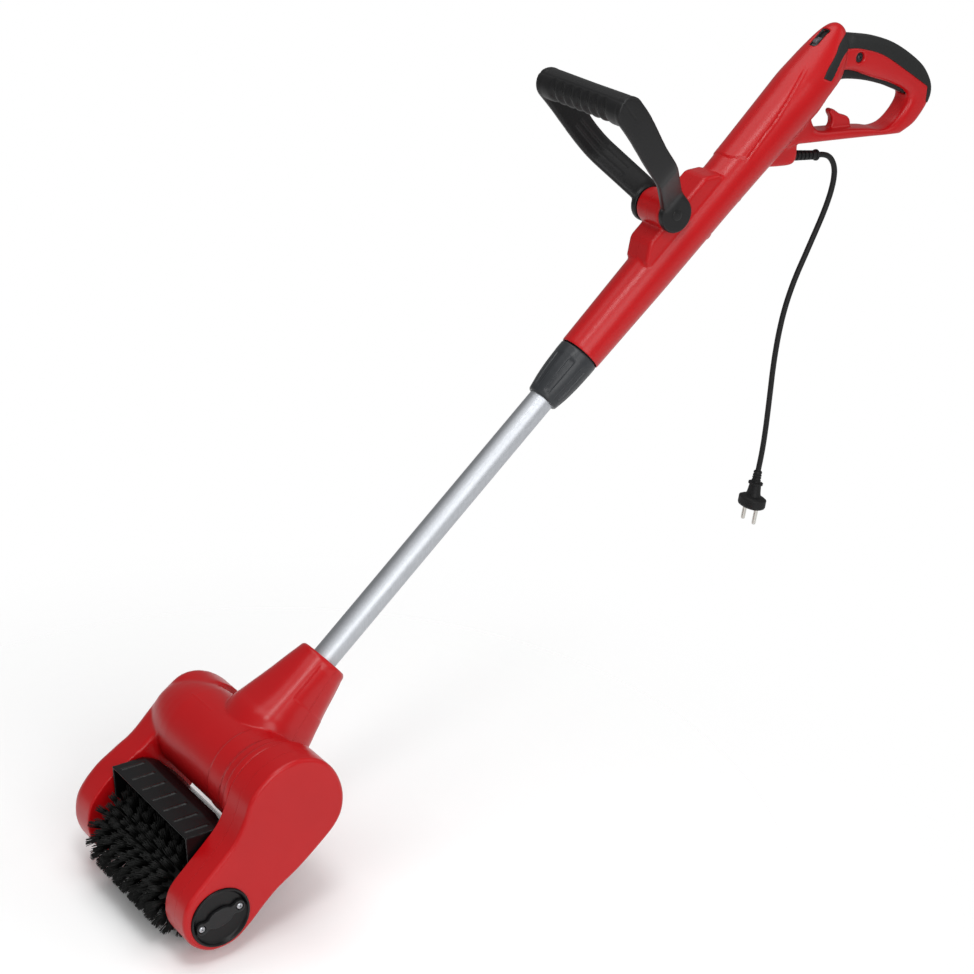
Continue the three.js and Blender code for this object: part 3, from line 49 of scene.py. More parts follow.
# The camera stands to the right of the head and above it, at the photograph's distance and slope.
# Its lens is a short telephoto, so the tool's two ends keep nearly the same scale.
def placed(name, data):
    """A new object that holds the given data, linked into the scene."""
    made = bpy.data.objects.new(name, data)
    bpy.context.scene.collection.objects.link(made)
    return made


camera_azimuth, camera_elevation = math.radians(55.4), math.radians(25.2)
camera = placed("camera", bpy.data.cameras.new("camera"))
camera.data.lens = 84.64
camera.data.sensor_width = 36
camera.data.clip_end = 60
camera.location = (1.80097, -1.77282, 0.65338)
camera.rotation_euler = (math.pi / 2 - camera_elevation, 0, camera_azimuth)
bpy.context.scene.camera = camera
bpy.context.scene.view_settings.view_transform = "Standard"


# The supply lead is a black two-core rubber flex. It leaves the strain relief under the D-handle,
# bends down at once under its own weight and hangs to its moulded plug.
def paint(red, green, blue):
    """A colour as the eye reads it, 0 to 255, turned into the linear values that a shader takes."""
    share = np.array([red, green, blue]) / 255
    linear = np.where(share <= 0.04045, share / 12.92, ((share + 0.055) / 1.055) ** 2.4)
    return (*linear, 1.0)


def nodes_in(tree, *kinds):
    """New shader nodes of the given kinds in a node tree."""
    return [tree.nodes.new("ShaderNode" + kind) for kind in kinds]


def wire(tree, *links):
    """Links in a node tree, each given as a node, its output, the next node and its input."""
    for giver, output, taker, socket in links:
        tree.links.new(giver.outputs[output], taker.inputs[socket])


def dial(node, values):
    """Sets a node's inputs, each by its name or number."""
    for socket, value in values.items():
        node.inputs[socket].default_value = value


def shared_group(name, entry, entry_value, *results):
    """An empty node group with one number going in and the named numbers coming out."""
    group = bpy.data.node_groups.new(name, "ShaderNodeTree")
    put = group.interface.new_socket
    put(entry, in_out="INPUT", socket_type="NodeSocketFloat").default_value = entry_value
    for result in results:
        put(result, in_out="OUTPUT", socket_type="NodeSocketFloat")
    return group, group.nodes.new("NodeGroupInput"), group.nodes.new("NodeGroupOutput")


def grain_group():
    """Spark-eroded mould grain: fine noise over a slower wave of tone, as Height and Tone, 0 to 1."""
    group, inside, outside = shared_group("mould_grain", "Scale", 900, "Height", "Tone")
    place, fine, slow = nodes_in(group, "TexCoord", "TexNoise", "TexNoise")
    dial(fine, {"Detail": 2})
    dial(slow, {"Scale": 14, "Detail": 3})
    wire(group, (place, "Object", fine, "Vector"), (place, "Object", slow, "Vector"),
         (inside, "Scale", fine, "Scale"), (fine, "Fac", outside, "Height"), (slow, "Fac", outside, "Tone"))
    return group


def wear_group():
    """Where handling has rubbed a corner: the bevelled normal turned away from the true one marks the
    edges, and noise breaks the mark up. Edge is 0 on open surface and 1 on a rubbed corner."""
    group, inside, outside = shared_group("rubbed_edges", "Radius", 0.0008, "Edge")
    place, geometry, bevel, dot, turned_away, noise, blend = nodes_in(
        group, "TexCoord", "NewGeometry", "Bevel", "VectorMath", "MapRange", "TexNoise", "Math")
    bevel.samples, dot.operation, blend.operation = 4, "DOT_PRODUCT", "MULTIPLY"
    dial(noise, {"Scale": 160})
    dial(turned_away, {"From Min": 0.99, "From Max": 0.8})
    wire(group, (inside, "Radius", bevel, "Radius"), (bevel, "Normal", dot, 0), (geometry, "Normal", dot, 1),
         (dot, "Value", turned_away, "Value"), (place, "Object", noise, "Vector"),
         (turned_away, "Result", blend, 0), (noise, "Fac", blend, 1), (blend, "Value", outside, "Edge"))
    return group


mould_grain = grain_group()
rubbed_edges = wear_group()


def moulded(name, deep, light, worn, roughness, grain, depth, coat=0.0, metal=0.0):
    """A moulded or metal finish: the colour drifts from deep to light with the slow tone and goes to
    worn on rubbed edges, the roughness drifts with the tone, and the grain feeds a bump. The three
    colours are given as the eye reads them, 0 to 255."""
    material = bpy.data.materials.new(name)
    material.use_nodes = True
    tree = material.node_tree
    shader = tree.nodes["Principled BSDF"]
    dial(shader, {"Metallic": metal, "Coat Weight": coat, "Coat Roughness": 0.2, "Specular IOR Level": 0.26})
    skin_grain, edges, drift, rub, gloss, bump = nodes_in(
        tree, "Group", "Group", "Mix", "Mix", "MapRange", "Bump")
    skin_grain.node_tree, edges.node_tree = mould_grain, rubbed_edges
    drift.data_type = rub.data_type = "RGBA"
    dial(skin_grain, {"Scale": grain})
    dial(drift, {"A": paint(*deep), "B": paint(*light)})
    dial(rub, {"B": paint(*worn)})
    dial(gloss, {"To Min": roughness[0], "To Max": roughness[1]})
    dial(bump, {"Distance": depth, "Strength": 0.6})
    wire(tree, (skin_grain, "Tone", drift, "Factor"), (drift, "Result", rub, "A"),
         (edges, "Edge", rub, "Factor"), (rub, "Result", shader, "Base Color"),
         (skin_grain, "Tone", gloss, "Value"), (gloss, "Result", shader, "Roughness"),
         (skin_grain, "Height", bump, "Height"), (bump, "Normal", shader, "Normal"))
    return material


flex_rubber = moulded("flex_rubber", (10, 10, 11), (16, 16, 17), (30, 30, 31),
                      roughness=(0.5, 0.62), grain=900, depth=0.00002)

slope = math.radians(39.4)
grip_reach, grip_height = 0.06644, 1.1584


def stand(points):
    """Puts points of the shaft's own frame (across, reach, height above the brush axis) into the
    part's frame: forward = reach sin + height cos, up = height sin - reach cos, from the grip."""
    points = np.asarray(points, float)
    reach, height = points[..., 1] - grip_reach, points[..., 2] - grip_height
    forward = reach * math.sin(slope) + height * math.cos(slope)
    up = height * math.sin(slope) - reach * math.cos(slope)
    return np.stack([points[..., 0], forward, up], -1)


cord_exit = np.array([0.0, -0.0891, -0.0896])
cord_diameter = 0.0064
cord_route = np.array([
    [0, 0], [9.9, -1.5], [18, -5], [24, -11.5], [27.5, -20], [28, -30], [26, -42], [21.5, -56],
    [15.5, -70], [8.5, -84], [0, -100], [-9, -117], [-18.5, -135], [-27, -154], [-34, -174],
    [-39.5, -196], [-43.5, -219], [-46.5, -244], [-48.5, -269], [-50.5, -294], [-52.8, -319],
    [-56, -344], [-60.5, -368],
]) / 1000
cord_points = cord_exit + np.column_stack([np.zeros(len(cord_route)), cord_route])
cord_curve = bpy.data.curves.new("flex", "CURVE")
cord_curve.dimensions = "3D"
cord_curve.bevel_depth = cord_diameter / 2
cord_curve.bevel_resolution = 6
cord_curve.resolution_u = 8
cord_curve.use_fill_caps = True
spline = cord_curve.splines.new("BEZIER")
spline.bezier_points.add(len(cord_points) - 1)
spline.bezier_points.foreach_set("co", cord_points.ravel())
for knot in spline.bezier_points:
    knot.handle_left_type = knot.handle_right_type = "AUTO"
flex = placed("flex", cord_curve)
flex.data.materials.append(flex_rubber)
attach(flex, "handle")
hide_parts("power_cord")


# The plug is one rubber moulding: a ringed sleeve, a stop ring, a flared grip and a wide flange that
# keeps the fingers off the two plain round pins pressed into its face.
def shade(mesh, degrees):
    """Shades a mesh smooth but for its sharp edges, which turn by more than the given degrees."""
    mesh.shade_smooth()
    mesh.set_sharp_from_angle(angle=math.radians(degrees))


def skin(name, grid, around=True, along=False, flat=False):
    """A mesh over a grid of points: around closes each row on itself, along joins the last row to the
    first, and where the rows don't join, each end is closed by a fan to its middle point, or by one
    flat face. Edges that turn by more than 38 degrees stay sharp."""
    rows, cols = grid.shape[:2]
    points = grid.reshape(-1, 3)
    i = np.arange(rows if along else rows - 1)[:, None]
    j = np.arange(cols if around else cols - 1)[None, :]
    low, high, right = i * cols, (i + 1) % rows * cols, (j + 1) % cols
    faces = np.stack([low + j, low + right, high + right, high + j], -1).reshape(-1, 4).tolist()
    end = (rows - 1) * cols
    if flat:
        faces += [list(range(cols - 1, -1, -1)), list(range(end, end + cols))]
    elif around and not along:
        rim = np.arange(cols)
        turn = (rim + 1) % cols
        points = np.vstack([points, grid[0].mean(0), grid[-1].mean(0)])
        first, last = np.full(cols, rows * cols), np.full(cols, rows * cols + 1)
        faces += np.column_stack([turn, rim, first]).tolist()
        faces += np.column_stack([end + rim, end + turn, last]).tolist()
    mesh = bpy.data.meshes.new(name)
    mesh.from_pydata(points.tolist(), [], faces)
    work = bmesh.new()
    work.from_mesh(mesh)
    bmesh.ops.remove_doubles(work, verts=work.verts, dist=1e-6)
    bmesh.ops.recalc_face_normals(work, faces=work.faces)
    work.to_mesh(mesh)
    work.free()
    shade(mesh, 38)
    return placed(name, mesh)


def dress(piece, material, body, slot, *replaced):
    """Gives a finished piece its material, the body it moves with and the nodes it stands for. Its slot is
    not used.
    """
    piece.data.materials.clear()
    piece.data.materials.append(material)
    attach(piece, body)
    if replaced:
        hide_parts(*replaced)
    return piece


def ring(half_wide, half_deep, power, count):
    """A closed superellipse, |x/a|^power + |y/b|^power = 1, of count points: 2 is round, 4 is boxy."""
    turn = np.linspace(0, 2 * math.pi, count, endpoint=False)
    cos, sin = np.cos(turn), np.sin(turn)
    wide = half_wide * np.sign(cos) * np.abs(cos) ** (2 / power)
    deep = half_deep * np.sign(sin) * np.abs(sin) ** (2 / power)
    return np.stack([wide, deep], -1)


plug_axis = cord_points[-1] - cord_points[-2]
plug_axis /= np.linalg.norm(plug_axis)
plug_side = np.array([1.0, 0, 0])
plug_front = np.cross(plug_axis, plug_side)
plug_down = np.array([0, 0.001, 0.0125, 0.0135, 0.0138, 0.0164, 0.0168, 0.0260, 0.0300, 0.0312, 0.0330,
                      0.0410, 0.0428, 0.0440]) - 0.0005
plug_wide = np.array([0.0040, 0.0047, 0.0053, 0.0056, 0.0086, 0.0086, 0.0068, 0.0082, 0.0094, 0.0140, 0.0174,
                      0.0174, 0.0168, 0.0150])
plug_deep = np.array([0.0040, 0.0047, 0.0050, 0.0052, 0.0078, 0.0078, 0.0062, 0.0070, 0.0078, 0.0112, 0.0136,
                      0.0136, 0.0130, 0.0114])
fine_down = np.linspace(plug_down[0], plug_down[-1], 120)
ring_pitch, ring_depth = 0.0031, 0.0006
sleeve_rings = np.cos(fine_down / ring_pitch * 2 * math.pi) > 0.2
sleeve_rings &= (fine_down > 0.001) & (fine_down < 0.012)
sections = np.stack([
    ring(np.interp(d, plug_down, plug_wide) - cut, np.interp(d, plug_down, plug_deep) - cut, 2.3, 48)
    for d, cut in zip(fine_down, ring_depth * sleeve_rings)])
plug_grid = (cord_points[-1] + fine_down[:, None, None] * plug_axis
             + sections[..., :1] * plug_side + sections[..., 1:] * plug_front)
plug = dress(skin("plug_moulding", plug_grid), flex_rubber, "handle", "rubber", "plug_body")

pin_plate = moulded("nickel_plate", (186, 184, 178), (206, 204, 198), (226, 225, 220),
                    roughness=(0.22, 0.34), grain=400, depth=0.00003, metal=1.0)
pin_radius, pin_length, pin_half_pitch = 0.0024, 0.019, 0.0095
down = np.array([-0.002, 0, 0.004, 0.010, 0.016, 0.018, 0.0187, pin_length])
swell = np.array([1, 1, 1, 1, 1, 0.92, 0.7, 0.35]) * pin_radius
circle = ring(1, 1, 2, 24)
for side, node in ((-1, "plug_pin_left"), (1, "plug_pin_right")):
    middle = cord_points[-1] + (plug_down[-1] + down)[:, None] * plug_axis + side * pin_half_pitch * plug_side
    grid = middle[:, None] + swell[:, None, None] * (circle[:, :1] * plug_side + circle[:, 1:] * plug_front)
    dress(skin(node.removeprefix("plug_"), grid), pin_plate, "handle", "brass", node)


# The rear housing is two red ABS shells, injection moulded and screwed together along the middle
# plane. The barrel, the leaning dome, the D-handle with its cord hook, the hump of the front handle's
# pivot and the cable boss are all one moulding, with soft radii where they run into each other.
def curve(points, count, closed=False):
    """A smooth line of evenly spaced points through the given ones: between b and c, with neighbours
    a and d, p = b + (c - a) t/2 + (2a - 5b + 4c - d) t^2/2 + (3b - 3c + d - a) t^3/2."""
    points = np.asarray(points, float)
    if closed:
        a, b, c, d = (np.roll(points, shift, 0) for shift in (1, 0, -1, -2))
    else:
        framed = np.vstack([2 * points[0] - points[1], points, 2 * points[-1] - points[-2]])
        a, b, c, d = framed[:-3], framed[1:-2], framed[2:-1], framed[3:]
    t = np.linspace(0, 1, 24, endpoint=False)[:, None, None]
    line = b + (c - a) * t / 2 + (2 * a - 5 * b + 4 * c - d) * t**2 / 2 + (3 * b - 3 * c + d - a) * t**3 / 2
    line = line.transpose(1, 0, 2).reshape(-1, points.shape[1])
    line = np.vstack([line, line[:1] if closed else points[-1:]])
    run = np.concatenate([[0], np.cumsum(np.linalg.norm(np.diff(line, axis=0), axis=1))])
    steps = np.linspace(0, run[-1], count, endpoint=not closed)
    return np.stack([np.interp(steps, run, axis) for axis in line.T], -1)


def inset(outline, depth):
    """Each point of a closed outline moves in by depth, square to the chord between its neighbours."""
    chord = np.roll(outline, -1, 0) - np.roll(outline, 1, 0)
    chord /= np.linalg.norm(chord, axis=1, keepdims=True)
    ahead = np.roll(outline, -1, 0)
    turns = np.sign((outline[:, 0] * ahead[:, 1] - ahead[:, 0] * outline[:, 1]).sum())
    return outline + depth * turns * np.stack([-chord[:, 1], chord[:, 0]], -1)


def plate(name, outline, low, high, radius=0.0):
    """A slab from low to high across, its outline on the reach-height plane. At turn q of a quarter
    circle the outline is radius (1 - sin q) in, and radius (1 - cos q) inside the face."""
    turn = np.linspace(0, math.pi / 2, 6 if radius else 1)
    depth, step = radius * (1 - np.sin(turn)), radius * (1 - np.cos(turn))
    across = np.concatenate([low + step, (high - step)[::-1]])
    depths = np.concatenate([depth, depth[::-1]]) if radius else np.zeros(2)
    rows = [np.column_stack([np.full(len(outline), x), inset(outline, d)]) for x, d in zip(across, depths)]
    return skin(name, np.stack(rows), flat=True)


def turned(name, profile, middle=None, count=96, lean=0):
    """A turned solid from rows of distance along its axis and radius, whose centres can lean in reach.
    The axis is the shaft's own, or it runs across through a middle of reach and height."""
    circle = ring(1, 1, 2, count)
    run, radius = np.asarray(profile, float).T[..., None]
    wide, deep, run = radius * circle[:, 0], radius * circle[:, 1] + lean, run + 0 * circle[:, 0]
    if middle is None:
        return skin(name, np.stack([wide, deep, run], -1))
    return skin(name, np.stack([run, middle[0] + wide, middle[1] + deep], -1))


def finished(piece):
    """Applies a piece's modifiers and clears them."""
    mesh = bpy.data.meshes.new_from_object(piece.evaluated_get(bpy.context.evaluated_depsgraph_get()))
    piece.modifiers.clear()
    piece.data = mesh
    return piece


def carve(piece, cutters, keep=False):
    """Takes closed cutters away from a piece, all in one cut, or keeps only what it shares with them."""
    tray = bpy.data.collections.new("cutters")
    for cutter in cutters:
        tray.objects.link(cutter)
    cut = piece.modifiers.new("cut", "BOOLEAN")
    cut.operation = "INTERSECT" if keep else "DIFFERENCE"
    cut.solver, cut.operand_type, cut.collection = "EXACT", "COLLECTION", tray
    finished(piece)
    bpy.data.collections.remove(tray)
    return piece


def discard(*pieces):
    """Clears away cutters and pieces that went into another."""
    for piece in pieces:
        bpy.data.objects.remove(piece)


def fuse(name, pieces, pitch, rounds):
    """Melts closed pieces into one skin: a voxel remesh at the given pitch, then rounds of smoothing
    that leave the soft inner and outer radii of a moulding."""
    work = bmesh.new()
    for piece in pieces:
        work.from_mesh(piece.data)
    discard(*pieces)
    mesh = bpy.data.meshes.new(name)
    work.to_mesh(mesh)
    work.free()
    made = placed(name, mesh)
    melt = made.modifiers.new("melt", "REMESH")
    melt.mode, melt.voxel_size, melt.use_smooth_shade = "VOXEL", pitch, True
    relax = made.modifiers.new("relax", "SMOOTH")
    relax.factor, relax.iterations = 0.5, rounds
    return finished(made)


def points_of(piece):
    """A mesh's points and normals as arrays."""
    count = len(piece.data.vertices)
    points, normals = np.empty(3 * count), np.empty(3 * count)
    piece.data.vertices.foreach_get("co", points)
    piece.data.vertices.foreach_get("normal", normals)
    return points.reshape(-1, 3), normals.reshape(-1, 3)


def move(piece, points):
    """Puts a piece's points at new places."""
    piece.data.vertices.foreach_set("co", np.ascontiguousarray(points, float).ravel())
    piece.data.update()
    return piece


def settle(piece):
    """Turns a piece made in the shaft's own frame into the part's frame."""
    return move(piece, stand(points_of(piece)[0]))


def ramp(value, low, high):
    """0 below low, 1 above high, and 3 s^2 - 2 s^3 between."""
    share = np.clip((value - low) / (high - low), 0, 1)
    return share**2 * (3 - 2 * share)


def within(points, outline):
    """The distance of points to a closed outline on the reach-height plane, positive inside it."""
    ahead = np.roll(outline, -1, 0)
    nearest, crossings = np.full(len(points), 9.0), np.zeros(len(points), int)
    for (y1, z1), (y2, z2) in zip(outline, ahead):
        run = np.array([y2 - y1, z2 - z1])
        share = np.clip(((points[:, 1:] - (y1, z1)) @ run) / (run @ run), 0, 1)
        gap = np.hypot(points[:, 1] - y1 - share * run[0], points[:, 2] - z1 - share * run[1])
        nearest = np.minimum(nearest, gap)
        if z1 != z2:
            level = (points[:, 2] > min(z1, z2)) & (points[:, 2] <= max(z1, z2))
            crossings += level & (points[:, 1] < y1 + (points[:, 2] - z1) * run[0] / run[1])
    return np.where(crossings % 2 == 1, nearest, -nearest)


def halves(piece, shells, material, body, slot, across=(1, 0, 0), gap=0.0003):
    """Two dressed shells from one closed piece, parted by a gap on the plane square to across and
    closed there. The names of the shells are given with the nodes that they stand for."""
    for (name, node), side in zip(shells.items(), (-1, 1)):
        work = bmesh.new()
        work.from_mesh(piece.data)
        facing = side * np.array(across, float)
        kept = bmesh.ops.bisect_plane(work, geom=work.verts[:] + work.edges[:] + work.faces[:],
                                      plane_co=facing * gap / 2, plane_no=-facing, clear_outer=True)
        rims = [edge for edge in kept["geom_cut"] if isinstance(edge, bmesh.types.BMEdge)]
        bmesh.ops.triangle_fill(work, edges=rims, use_beauty=False)
        bmesh.ops.recalc_face_normals(work, faces=work.faces)
        mesh = bpy.data.meshes.new(name)
        work.to_mesh(mesh)
        work.free()
        shade(mesh, 50)
        dress(settle(placed(name, mesh)), material, body, slot, node)
    discard(piece)


red_shell = moulded("red_shell", (162, 8, 13), (175, 11, 17), (196, 48, 48),
                    roughness=(0.28, 0.38), grain=1100, depth=0.00006, coat=0.08)

handle_foot, handle_reach, handle_rise = 1.016, 0.151, 0.178
handle_half = 0.015


def on_handle(shares):
    """Places of the D-handle from their shares of its reach and of its rise."""
    return np.asarray(shares) * (handle_reach, handle_rise) + (0, handle_foot)


back_shares = [(0, 0.708), (0.219, 0.854), (0.411, 0.938), (0.662, 1), (0.808, 1.003), (0.914, 0.972),
               (0.974, 0.899), (1, 0.792), (0.998, 0.72), (0.957, 0.612)]
strut_shares = [(0.6, 0.302), (0.232, -0.019), (0.185, -0.09), (0, -0.09)]
loop_shares = [(0.318, 0.169), (0.205, 0.174), (0.126, 0.23), (0.093, 0.303), (0.090, 0.382),
               (0.105, 0.462), (0.150, 0.533), (0.237, 0.586), (0.384, 0.652), (0.563, 0.742),
               (0.728, 0.803), (0.801, 0.792), (0.834, 0.719), (0.834, 0.607), (0.781, 0.522),
               (0.689, 0.461), (0.556, 0.36), (0.437, 0.258)]
handle_back = curve(on_handle(back_shares), 60)
handle_line = np.vstack([handle_back, on_handle(strut_shares)])
loop_line = curve(on_handle(loop_shares), 90, closed=True)


def handle_ring(name, swell=0.0):
    """The D-handle as a ring: on each ray from the loop's middle the loop's edge and the outer edge
    face each other, and the section between them is a boxy superellipse of power 4."""
    hub = on_handle((0.45, 0.5))
    turn = np.linspace(-math.pi, math.pi, 220, endpoint=False)

    def reach(line):
        spread = np.vstack([line, line[:1]])
        fine = np.linspace(0, len(line), 4001)
        dense = np.stack([np.interp(fine, np.arange(len(spread)), axis) for axis in spread.T], -1) - hub
        angle = np.arctan2(dense[:, 1], dense[:, 0])
        order = np.argsort(angle)
        return np.interp(turn, angle[order], np.hypot(*dense.T)[order], period=2 * math.pi)

    inner, outer = reach(loop_line) - swell, reach(handle_line) + swell
    section = ring(handle_half + swell, 1, 4, 40)
    span = (inner + outer)[:, None] / 2 + (outer - inner)[:, None] / 2 * section[None, :, 1]
    across = np.broadcast_to(section[None, :, 0], span.shape)
    grid = [across, hub[0] + span * np.cos(turn)[:, None], hub[1] + span * np.sin(turn)[:, None]]
    return skin(name, np.stack(grid, -1), along=True)


barrel_table = [(0.680, 0.0235), (0.790, 0.0255), (0.900, 0.0261), (0.960, 0.0272), (1.030, 0.0293),
                (1.060, 0.0304)]
dome_table = [(1.060, 0.0304, 0), (1.076, 0.0302, 0), (1.090, 0.0290, -0.0008), (1.103, 0.0263, -0.0030),
              (1.115, 0.0227, -0.0060), (1.125, 0.0183, -0.0093), (1.133, 0.0130, -0.0125),
              (1.138, 0.0076, -0.0142), (1.1398, 0.0030, -0.0147)]


def barrel(name, swell=0.0):
    """The barrel and dome: rings whose radius and lean follow the two tables, swollen by a skin."""
    heights, radii = np.array(barrel_table).T
    low = np.linspace(heights[0], heights[-1], 60)[:-1]
    straight = np.column_stack([low, np.interp(low, heights, radii), 0 * low])
    rows = np.vstack([straight, curve(dome_table, 50)])
    rows[:, 1] += swell
    rows[-1, 0] += swell
    return turned(name, rows[:, :2], lean=rows[:, 2:])


trigger_shares = [(0.168, 0.404), (0.197, 0.478), (0.262, 0.538), (0.404, 0.632), (0.576, 0.722),
                  (0.728, 0.787), (0.781, 0.809), (0.79, 0.85), (0.74, 0.885), (0.649, 0.831),
                  (0.397, 0.713), (0.199, 0.607), (0.093, 0.494)]
trigger_line = curve(on_handle(trigger_shares), 90, closed=True)
loop_cut = plate("loop_cut", loop_line, -0.05, 0.05)
trigger_axle, trigger_swing = on_handle((0.745, 0.840)), math.radians(-4)
trigger_half, trigger_play = 0.006, 0.0008
swung = np.array([(math.cos(trigger_swing), math.sin(trigger_swing)),
                  (-math.sin(trigger_swing), math.cos(trigger_swing))])
swung_line = trigger_axle + (trigger_line - trigger_axle) @ swung
slot_cut, swung_cut = [plate(name, inset(line, -trigger_play), -trigger_half - 0.0004, trigger_half + 0.0004)
                       for name, line in (("slot_cut", trigger_line), ("swung_cut", swung_line))]
bore_radius, bore_end = 0.0218, 1.014
bore_cut = turned("bore_cut", [(0.670, bore_radius), (bore_end, bore_radius)])
slot_start, slot_floor = 1.099, -0.024
slot_corners = np.array([(-0.06, -0.0008), (slot_floor + 0.0008, -0.0008), (slot_floor + 0.0008, 0.0248),
                         (-0.06, 0.0248)])
lock_cut = plate("lock_cut", slot_corners + (0, slot_start), -0.0054, 0.0054)
near_screw, far_screw = on_handle((0.162, 0.652)), on_handle((0.92, 0.84))
near_pocket = turned("near_pocket", [(0.0105, 0.0062), (0.04, 0.0067)], near_screw)
far_pocket = turned("far_pocket", [(-0.04, 0.0052), (-0.0105, 0.0049)], far_screw)

body = carve(barrel("barrel"), [loop_cut, bore_cut, lock_cut, slot_cut, swung_cut])
loop = carve(handle_ring("loop"), [bore_cut, slot_cut, swung_cut, near_pocket, far_pocket])

hook_shares = [(0.425, 0.17), (0.430, 0.225), (0.425, 0.275), (0.390, 0.303), (0.335, 0.311), (0.322, 0.329),
               (0.345, 0.347), (0.420, 0.366), (0.485, 0.397), (0.540, 0.395), (0.575, 0.365), (0.585, 0.3)]
hook = plate("hook", curve(on_handle(hook_shares), 60, closed=True), -0.005, 0.005, 0.0012)
boss_shares = [(0.156, -0.262), (0.179, -0.247), (0.325, -0.124), (0.344, -0.073), (0.311, -0.034),
               (0.238, 0.011), (0.156, 0.021)]
boss = plate("boss", curve(on_handle(boss_shares), 60, closed=True), -0.011, 0.011, 0.004)
hump_top, hump_low, hump_high = -0.038, 0.794, 0.920
hump_points = [(0, hump_low - 0.002), (-0.0215, hump_low), (-0.0245, hump_low + 0.001),
               (hump_top + 0.002, 0.8095), (hump_top, 0.814), (hump_top, 0.9035), (hump_top + 0.002, 0.9075),
               (-0.026, hump_high), (-0.022, hump_high + 0.001), (0, hump_high + 0.002)]
ear_half = 0.0185
hump = carve(plate("hump", np.array(hump_points), -ear_half, ear_half, 0.0035), [bore_cut])
pivot = (-0.043, 0.851)
ears = turned("ears", [(-ear_half, 0.018), (-ear_half + 0.0015, 0.0195), (ear_half - 0.0015, 0.0195),
                       (ear_half, 0.018)], pivot)
lug_run = np.linspace(-1, 1, 24)
lug_foot, lug_reach = 0.0222, 0.020
lug_top = np.maximum(0.0205 + 0.0086 * np.cos(lug_run * math.pi / 2) ** 2, 0.0250)
lug_heights, lug_half = (0.872, 0.925), 0.009
lugs = [plate(f"lug_{height}", np.column_stack([
    np.append(lug_top, (lug_foot, lug_foot)), height + lug_reach * np.append(lug_run, (1, -1))]),
    -lug_half, lug_half, 0.0012) for height in lug_heights]
housing = fuse("housing", [body, loop, hook, boss, hump, ears, *lugs], 0.0013, 5)

crease_table = np.array([(0.9480, -33.0), (0.9776, -38.3), (1.0051, -41.2), (1.0310, -48.2), (1.0532, -56.0),
                         (1.0760, -64.0)])
places, normals = points_of(housing)
angle = np.degrees(np.arctan2(places[:, 1], places[:, 0]))
crease = np.interp(places[:, 2], *crease_table.T)
radial = np.hypot(places[:, 0], places[:, 1])
on_barrel = (radial > 0.0235) & (np.abs(radial - 0.028) < 0.006) & (places[:, 0] > -0.04)
from_crease = np.radians(angle - crease) * radial
step_height = 0.9415 + 0.011 * ramp(angle, -75, -28)
heights = places[:, 2]
panel_lift = 0.0010 * ramp(heights, step_height, step_height + 0.0016) * ramp(-from_crease, -0.0008, 0.0008)
panel_lift = panel_lift * (1 - ramp(heights, 1.045, 1.085))
ridge = 0.0006 * np.exp(-((from_crease - 0.0022) / 0.0011) ** 2)
groove = 0.0007 * np.exp(-(from_crease / 0.0008) ** 2)
ridge = (ridge - groove) * ramp(heights, 0.948, 0.958) * (1 - ramp(heights, 1.060, 1.078))
lift = np.where(on_barrel & (angle > -150) & (angle < 60), panel_lift + ridge, 0)
lower_shares = [(0.008, 0.36), (-0.009, 0.427), (-0.021, 0.49), (-0.016, 0.56), (0.045, 0.634),
                (0.139, 0.702), (0.318, 0.792), (0.57, 0.865), (0.854, 0.938)]
corner_shares = [(0.934, 0.876), (1.1, 0.899), (1.1, 1.12), (0.1, 1.12)]
upper_shares = [(0.02, 0.75), (-0.053, 0.697), (-0.093, 0.64), (-0.106, 0.567), (-0.093, 0.511),
                (-0.086, 0.449), (-0.079, 0.388), (-0.06, 0.331)]
band_line = np.vstack([curve(on_handle(lower_shares), 70), on_handle(corner_shares),
                       curve(on_handle(upper_shares), 50)])
under_band = within(places, band_line)
move(housing, places + normals * (lift - 0.0009 * ramp(under_band, -0.0006, 0.0004))[:, None])
halves(housing, {"rear_shell_left": "housing_shell_left", "rear_shell_right": "housing_shell_right"},
       red_shell, "handle", "red_plastic")
discard(bore_cut, lock_cut, near_pocket, far_pocket)


# The grip's overmould is a black thermoplastic rubber, shot over the hard shells where the palm
# lies, with a tongue that runs down the barrel. It stands a little proud, with a fine leathery grain.
soft_black = moulded("soft_black", (19, 20, 20), (30, 31, 31), (60, 61, 61),
                     roughness=(0.55, 0.7), grain=430, depth=0.0005)
band_cut = plate("band_cut", inset(band_line, 0.0003), -0.05, 0.05)
proud = 0.0005
rubber_skins = [carve(carve(form, [loop_cut, slot_cut, swung_cut]), [band_cut], keep=True)
                for form in (handle_ring("palm", proud), barrel("tongue", proud))]
soft_grip = fuse("soft_grip", rubber_skins, 0.0011, 3)
halves(soft_grip, {"overmould_left": "soft_grip_left", "overmould_right": "soft_grip_right"},
       soft_black, "handle", "soft_grip")
discard(loop_cut, slot_cut, swung_cut, band_cut)


# The trigger is one moulding of glass-filled nylon under the grip, worn smooth by the fingers.
# It swings on two stub axles that are held between the housing's shells.
nylon_black = moulded("nylon_black", (18, 18, 19), (26, 26, 27), (52, 52, 53),
                      roughness=(0.36, 0.48), grain=900, depth=0.0001)
trigger = plate("trigger_lever", trigger_line, -trigger_half, trigger_half, 0.0022)
dress(settle(trigger), nylon_black, "trigger", "black_plastic", "trigger")


